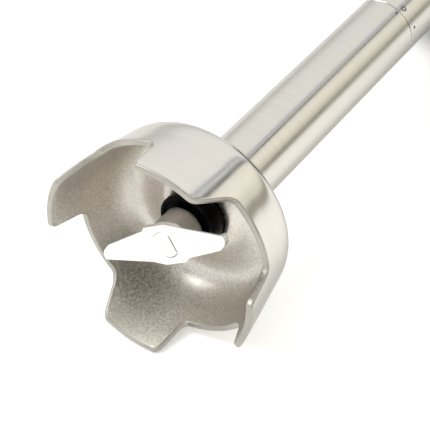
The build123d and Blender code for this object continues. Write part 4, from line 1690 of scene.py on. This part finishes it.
# ------------------------------------------------------------------ stage
@dataclass
class Stage:
    """White worktop, soft studio light and the camera.

    Args:
        reach: Half of the worktop's side, in metres.
        eye: Camera's place from the rim's centre, in millimetres.
        look: Direction of the camera's line of sight.
        lens: Focal length in millimetres.
        sensor: Width of the film in millimetres.
        daylight: Brightness of the room.
        room: Degrees round the blender, from +Y over the top to -Y, and the room's colour there.
        below: Brightness of the room below the worktop, on the -Y side and on the +Y side.
        lamps: Name, place from the rim's centre, diameter and power of each soft box.
    """

    reach: float = 3.0
    daylight: float = 1.2
    room: tuple[tuple[float, Colour], ...] = (
        (0.0, (0.76, 0.76, 0.76)),
        (40.0, (1.0, 1.0, 1.0)),
        (101.0, (1.0, 1.0, 0.99)),
        (106.5, (0.36, 0.40, 0.48)),
        (109.0, (0.84, 0.85, 0.86)),
        (112.5, (0.72, 0.73, 0.74)),
        (114.5, (0.10, 0.11, 0.14)),
        (117.5, (0.16, 0.15, 0.13)),
        (121.0, (1.02, 1.0, 0.93)),
        (138.0, (1.08, 1.05, 0.95)),
        (158.0, (0.86, 0.83, 0.73)),
        (167.0, (0.40, 0.38, 0.32)),
        (176.0, (0.40, 0.38, 0.33)),
        (179.9, (0.88, 0.88, 0.86)),
    )
    below: tuple[float, float] = (0.8, 0.86)
    lamps: tuple[tuple[str, tuple[float, float, float], float, float], ...] = (
        ("key_light", (-0.35, 0.75, 1.15), 0.9, 11.0),
        ("fill_light", (-0.9, -0.5, 0.8), 0.8, 1.2),
    )
    eye: tuple[float, float, float] = (-212.9, -161.9, 247.9)
    look: tuple[float, float, float] = (0.636, 0.413, -0.652)
    lens: float = 107.6
    sensor: float = 36.0

    def floor(self) -> None:
        """Lay the plain worktop a hair below the blender; it glows faintly, painted light that pales the
        shadows cast on it.
        """
        shape = bmesh.new()
        bmesh.ops.create_grid(shape, x_segments=24, y_segments=24, size=self.reach)
        bmesh.ops.translate(shape, verts=shape.verts, vec=(0.0, 0.0, -0.0002))
        worktop = finished_mesh("worktop", shape)
        material = bpy.data.materials.new("worktop_white")
        shader = Shader(material)
        tone = shader.blend(shader.noise(14.0, 2.0), (0.93, 0.93, 0.93), (0.95, 0.95, 0.95))
        rough = shader.spread(shader.noise(300.0), 0.62, 0.74, 0.0, 1.0)
        # The faint white emission is painted light: the worktop glows so that shadows cast on it come out
        # paler.
        shader.finish(tone, rough, None, Metallic=0.0, Specular_IOR_Level=0.2, Emission_Strength=0.18)
        worktop.data.materials.append(material)

    def light(self) -> None:
        """Light the scene with a bright room and two wide soft boxes."""
        world = bpy.data.worlds.new("studio")
        bpy.context.scene.world = world
        shader = Shader(world)
        _, y, z = shader.parts(shader.place("Generated"))
        swing = shader.math("ARCTAN2", z, y)
        ramp = shader.add("ValToRGB")
        ramp.color_ramp.interpolation = "EASE"
        shader.feed(ramp.inputs[0], shader.spread(swing, 0.0, 1.0, -math.pi, math.pi))
        stops = ramp.color_ramp.elements
        for stop, place, tone in zip(stops, (0.0, 0.49), self.below):
            stop.position, stop.color = place, (tone, tone, tone, 1.0)
        for degrees, colour in self.room:
            stops.new(min(0.9999, 0.5 + degrees / 360)).color = (*colour, 1.0)
        back = shader.tree.nodes["Background"]
        shader.feed(back.inputs["Color"], ramp.outputs[0])
        back.inputs["Strength"].default_value = self.daylight
        for name, place, size, power in self.lamps:
            data = bpy.data.lights.new(name, "AREA")
            data.shape, data.size, data.energy = "DISK", size, power
            self.aim(name, data, SHAFT.at(0.0) + Vector(place), -Vector(place))

    def aim(self, name: str, data: bpy.types.ID, place: Vector, way: Vector) -> Piece:
        """Stand a lamp or a camera at a place, facing a way.

        Args:
            name: The object's name.
            data: Its lamp or camera.
            place: Where it stands, in metres.
            way: Direction that it faces.

        Returns:
            The object.
        """
        thing = bpy.data.objects.new(name, data)
        thing.location = place
        thing.rotation_euler = way.to_track_quat("-Z", "Y").to_euler()
        bpy.context.scene.collection.objects.link(thing)
        return thing

    def camera(self) -> None:
        """Stand the camera in front of the bell, above and to one side."""
        data = bpy.data.cameras.new("camera")
        data.lens, data.sensor_width = self.lens, self.sensor
        data.clip_start, data.clip_end = 0.01, 20.0
        place = SHAFT.at(0.0) + Vector(self.eye) * MM
        bpy.context.scene.camera = self.aim("camera", data, place, Vector(self.look))

    def build(self) -> None:
        """Build the whole stage."""
        view = bpy.context.scene.view_settings
        view.view_transform, view.look = "Standard", "None"
        self.floor()
        self.light()
        self.camera()
        LOG.info("stage with worktop, lights and camera")


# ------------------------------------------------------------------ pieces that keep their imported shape
NODE_FINISHES: dict[Finish, tuple[str, ...]] = {
    Finish.HUB: ("blade_hub",),
    Finish.SHAFT: ("motor_shaft", "foot_coupling"),
    Finish.BLADE: ("drive_shaft",),
    Finish.BOSS: ("seal_carrier", "lip_seal"),
    Finish.SEAL: ("joint_o_ring", "front_damper", "rear_damper"),
    Finish.BRONZE: ("lower_bush", "mid_bush", "upper_bush"),
    Finish.INNER_PLASTIC: (
        "mid_carrier",
        "lock_collar",
        "bayonet_socket",
        "brush_holders",
        "motor_coupling",
        "thrust_washer",
    ),
    Finish.SPRING: ("shaft_clip", "brush_springs"),
    Finish.LAMINATION: ("stator_core", "armature_core"),
    Finish.COPPER: ("field_coils", "armature_windings"),
    Finish.COMMUTATOR: ("commutator",),
    Finish.BRACKET: ("front_bracket", "rear_bracket"),
    Finish.BEARING: ("front_bearing", "rear_bearing"),
    Finish.SCREW: ("motor_screws", "housing_screws"),
    Finish.CARBON: ("carbon_brushes",),
    Finish.BOARD: ("control_board",),
    Finish.COMPONENT: ("power_switch", "turbo_switch", "suppressor", "speed_control"),
    Finish.FAN: ("cooling_fan",),
}


def dress_nodes() -> None:
    """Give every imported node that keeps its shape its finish."""
    for finish, nodes in NODE_FINISHES.items():
        for node in nodes:
            dress(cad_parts[node], finish)


def main() -> None:
    """Build the stage, then the blender piece by piece."""
    logging.basicConfig(level=logging.INFO, format="%(name)s: %(message)s")
    Stage().build()
    dress_nodes()
    BellGuard().build()
    Blade().build()
    ShaftTube().build()
    HandleCasing().build()
    POWER.build()
    TURBO.build()
    SpeedDial().build()
    ReturnSpring("power_spring", "power_press").build()
    ReturnSpring("turbo_spring", "turbo_press").build()


if __name__ == "__main__":
    main()
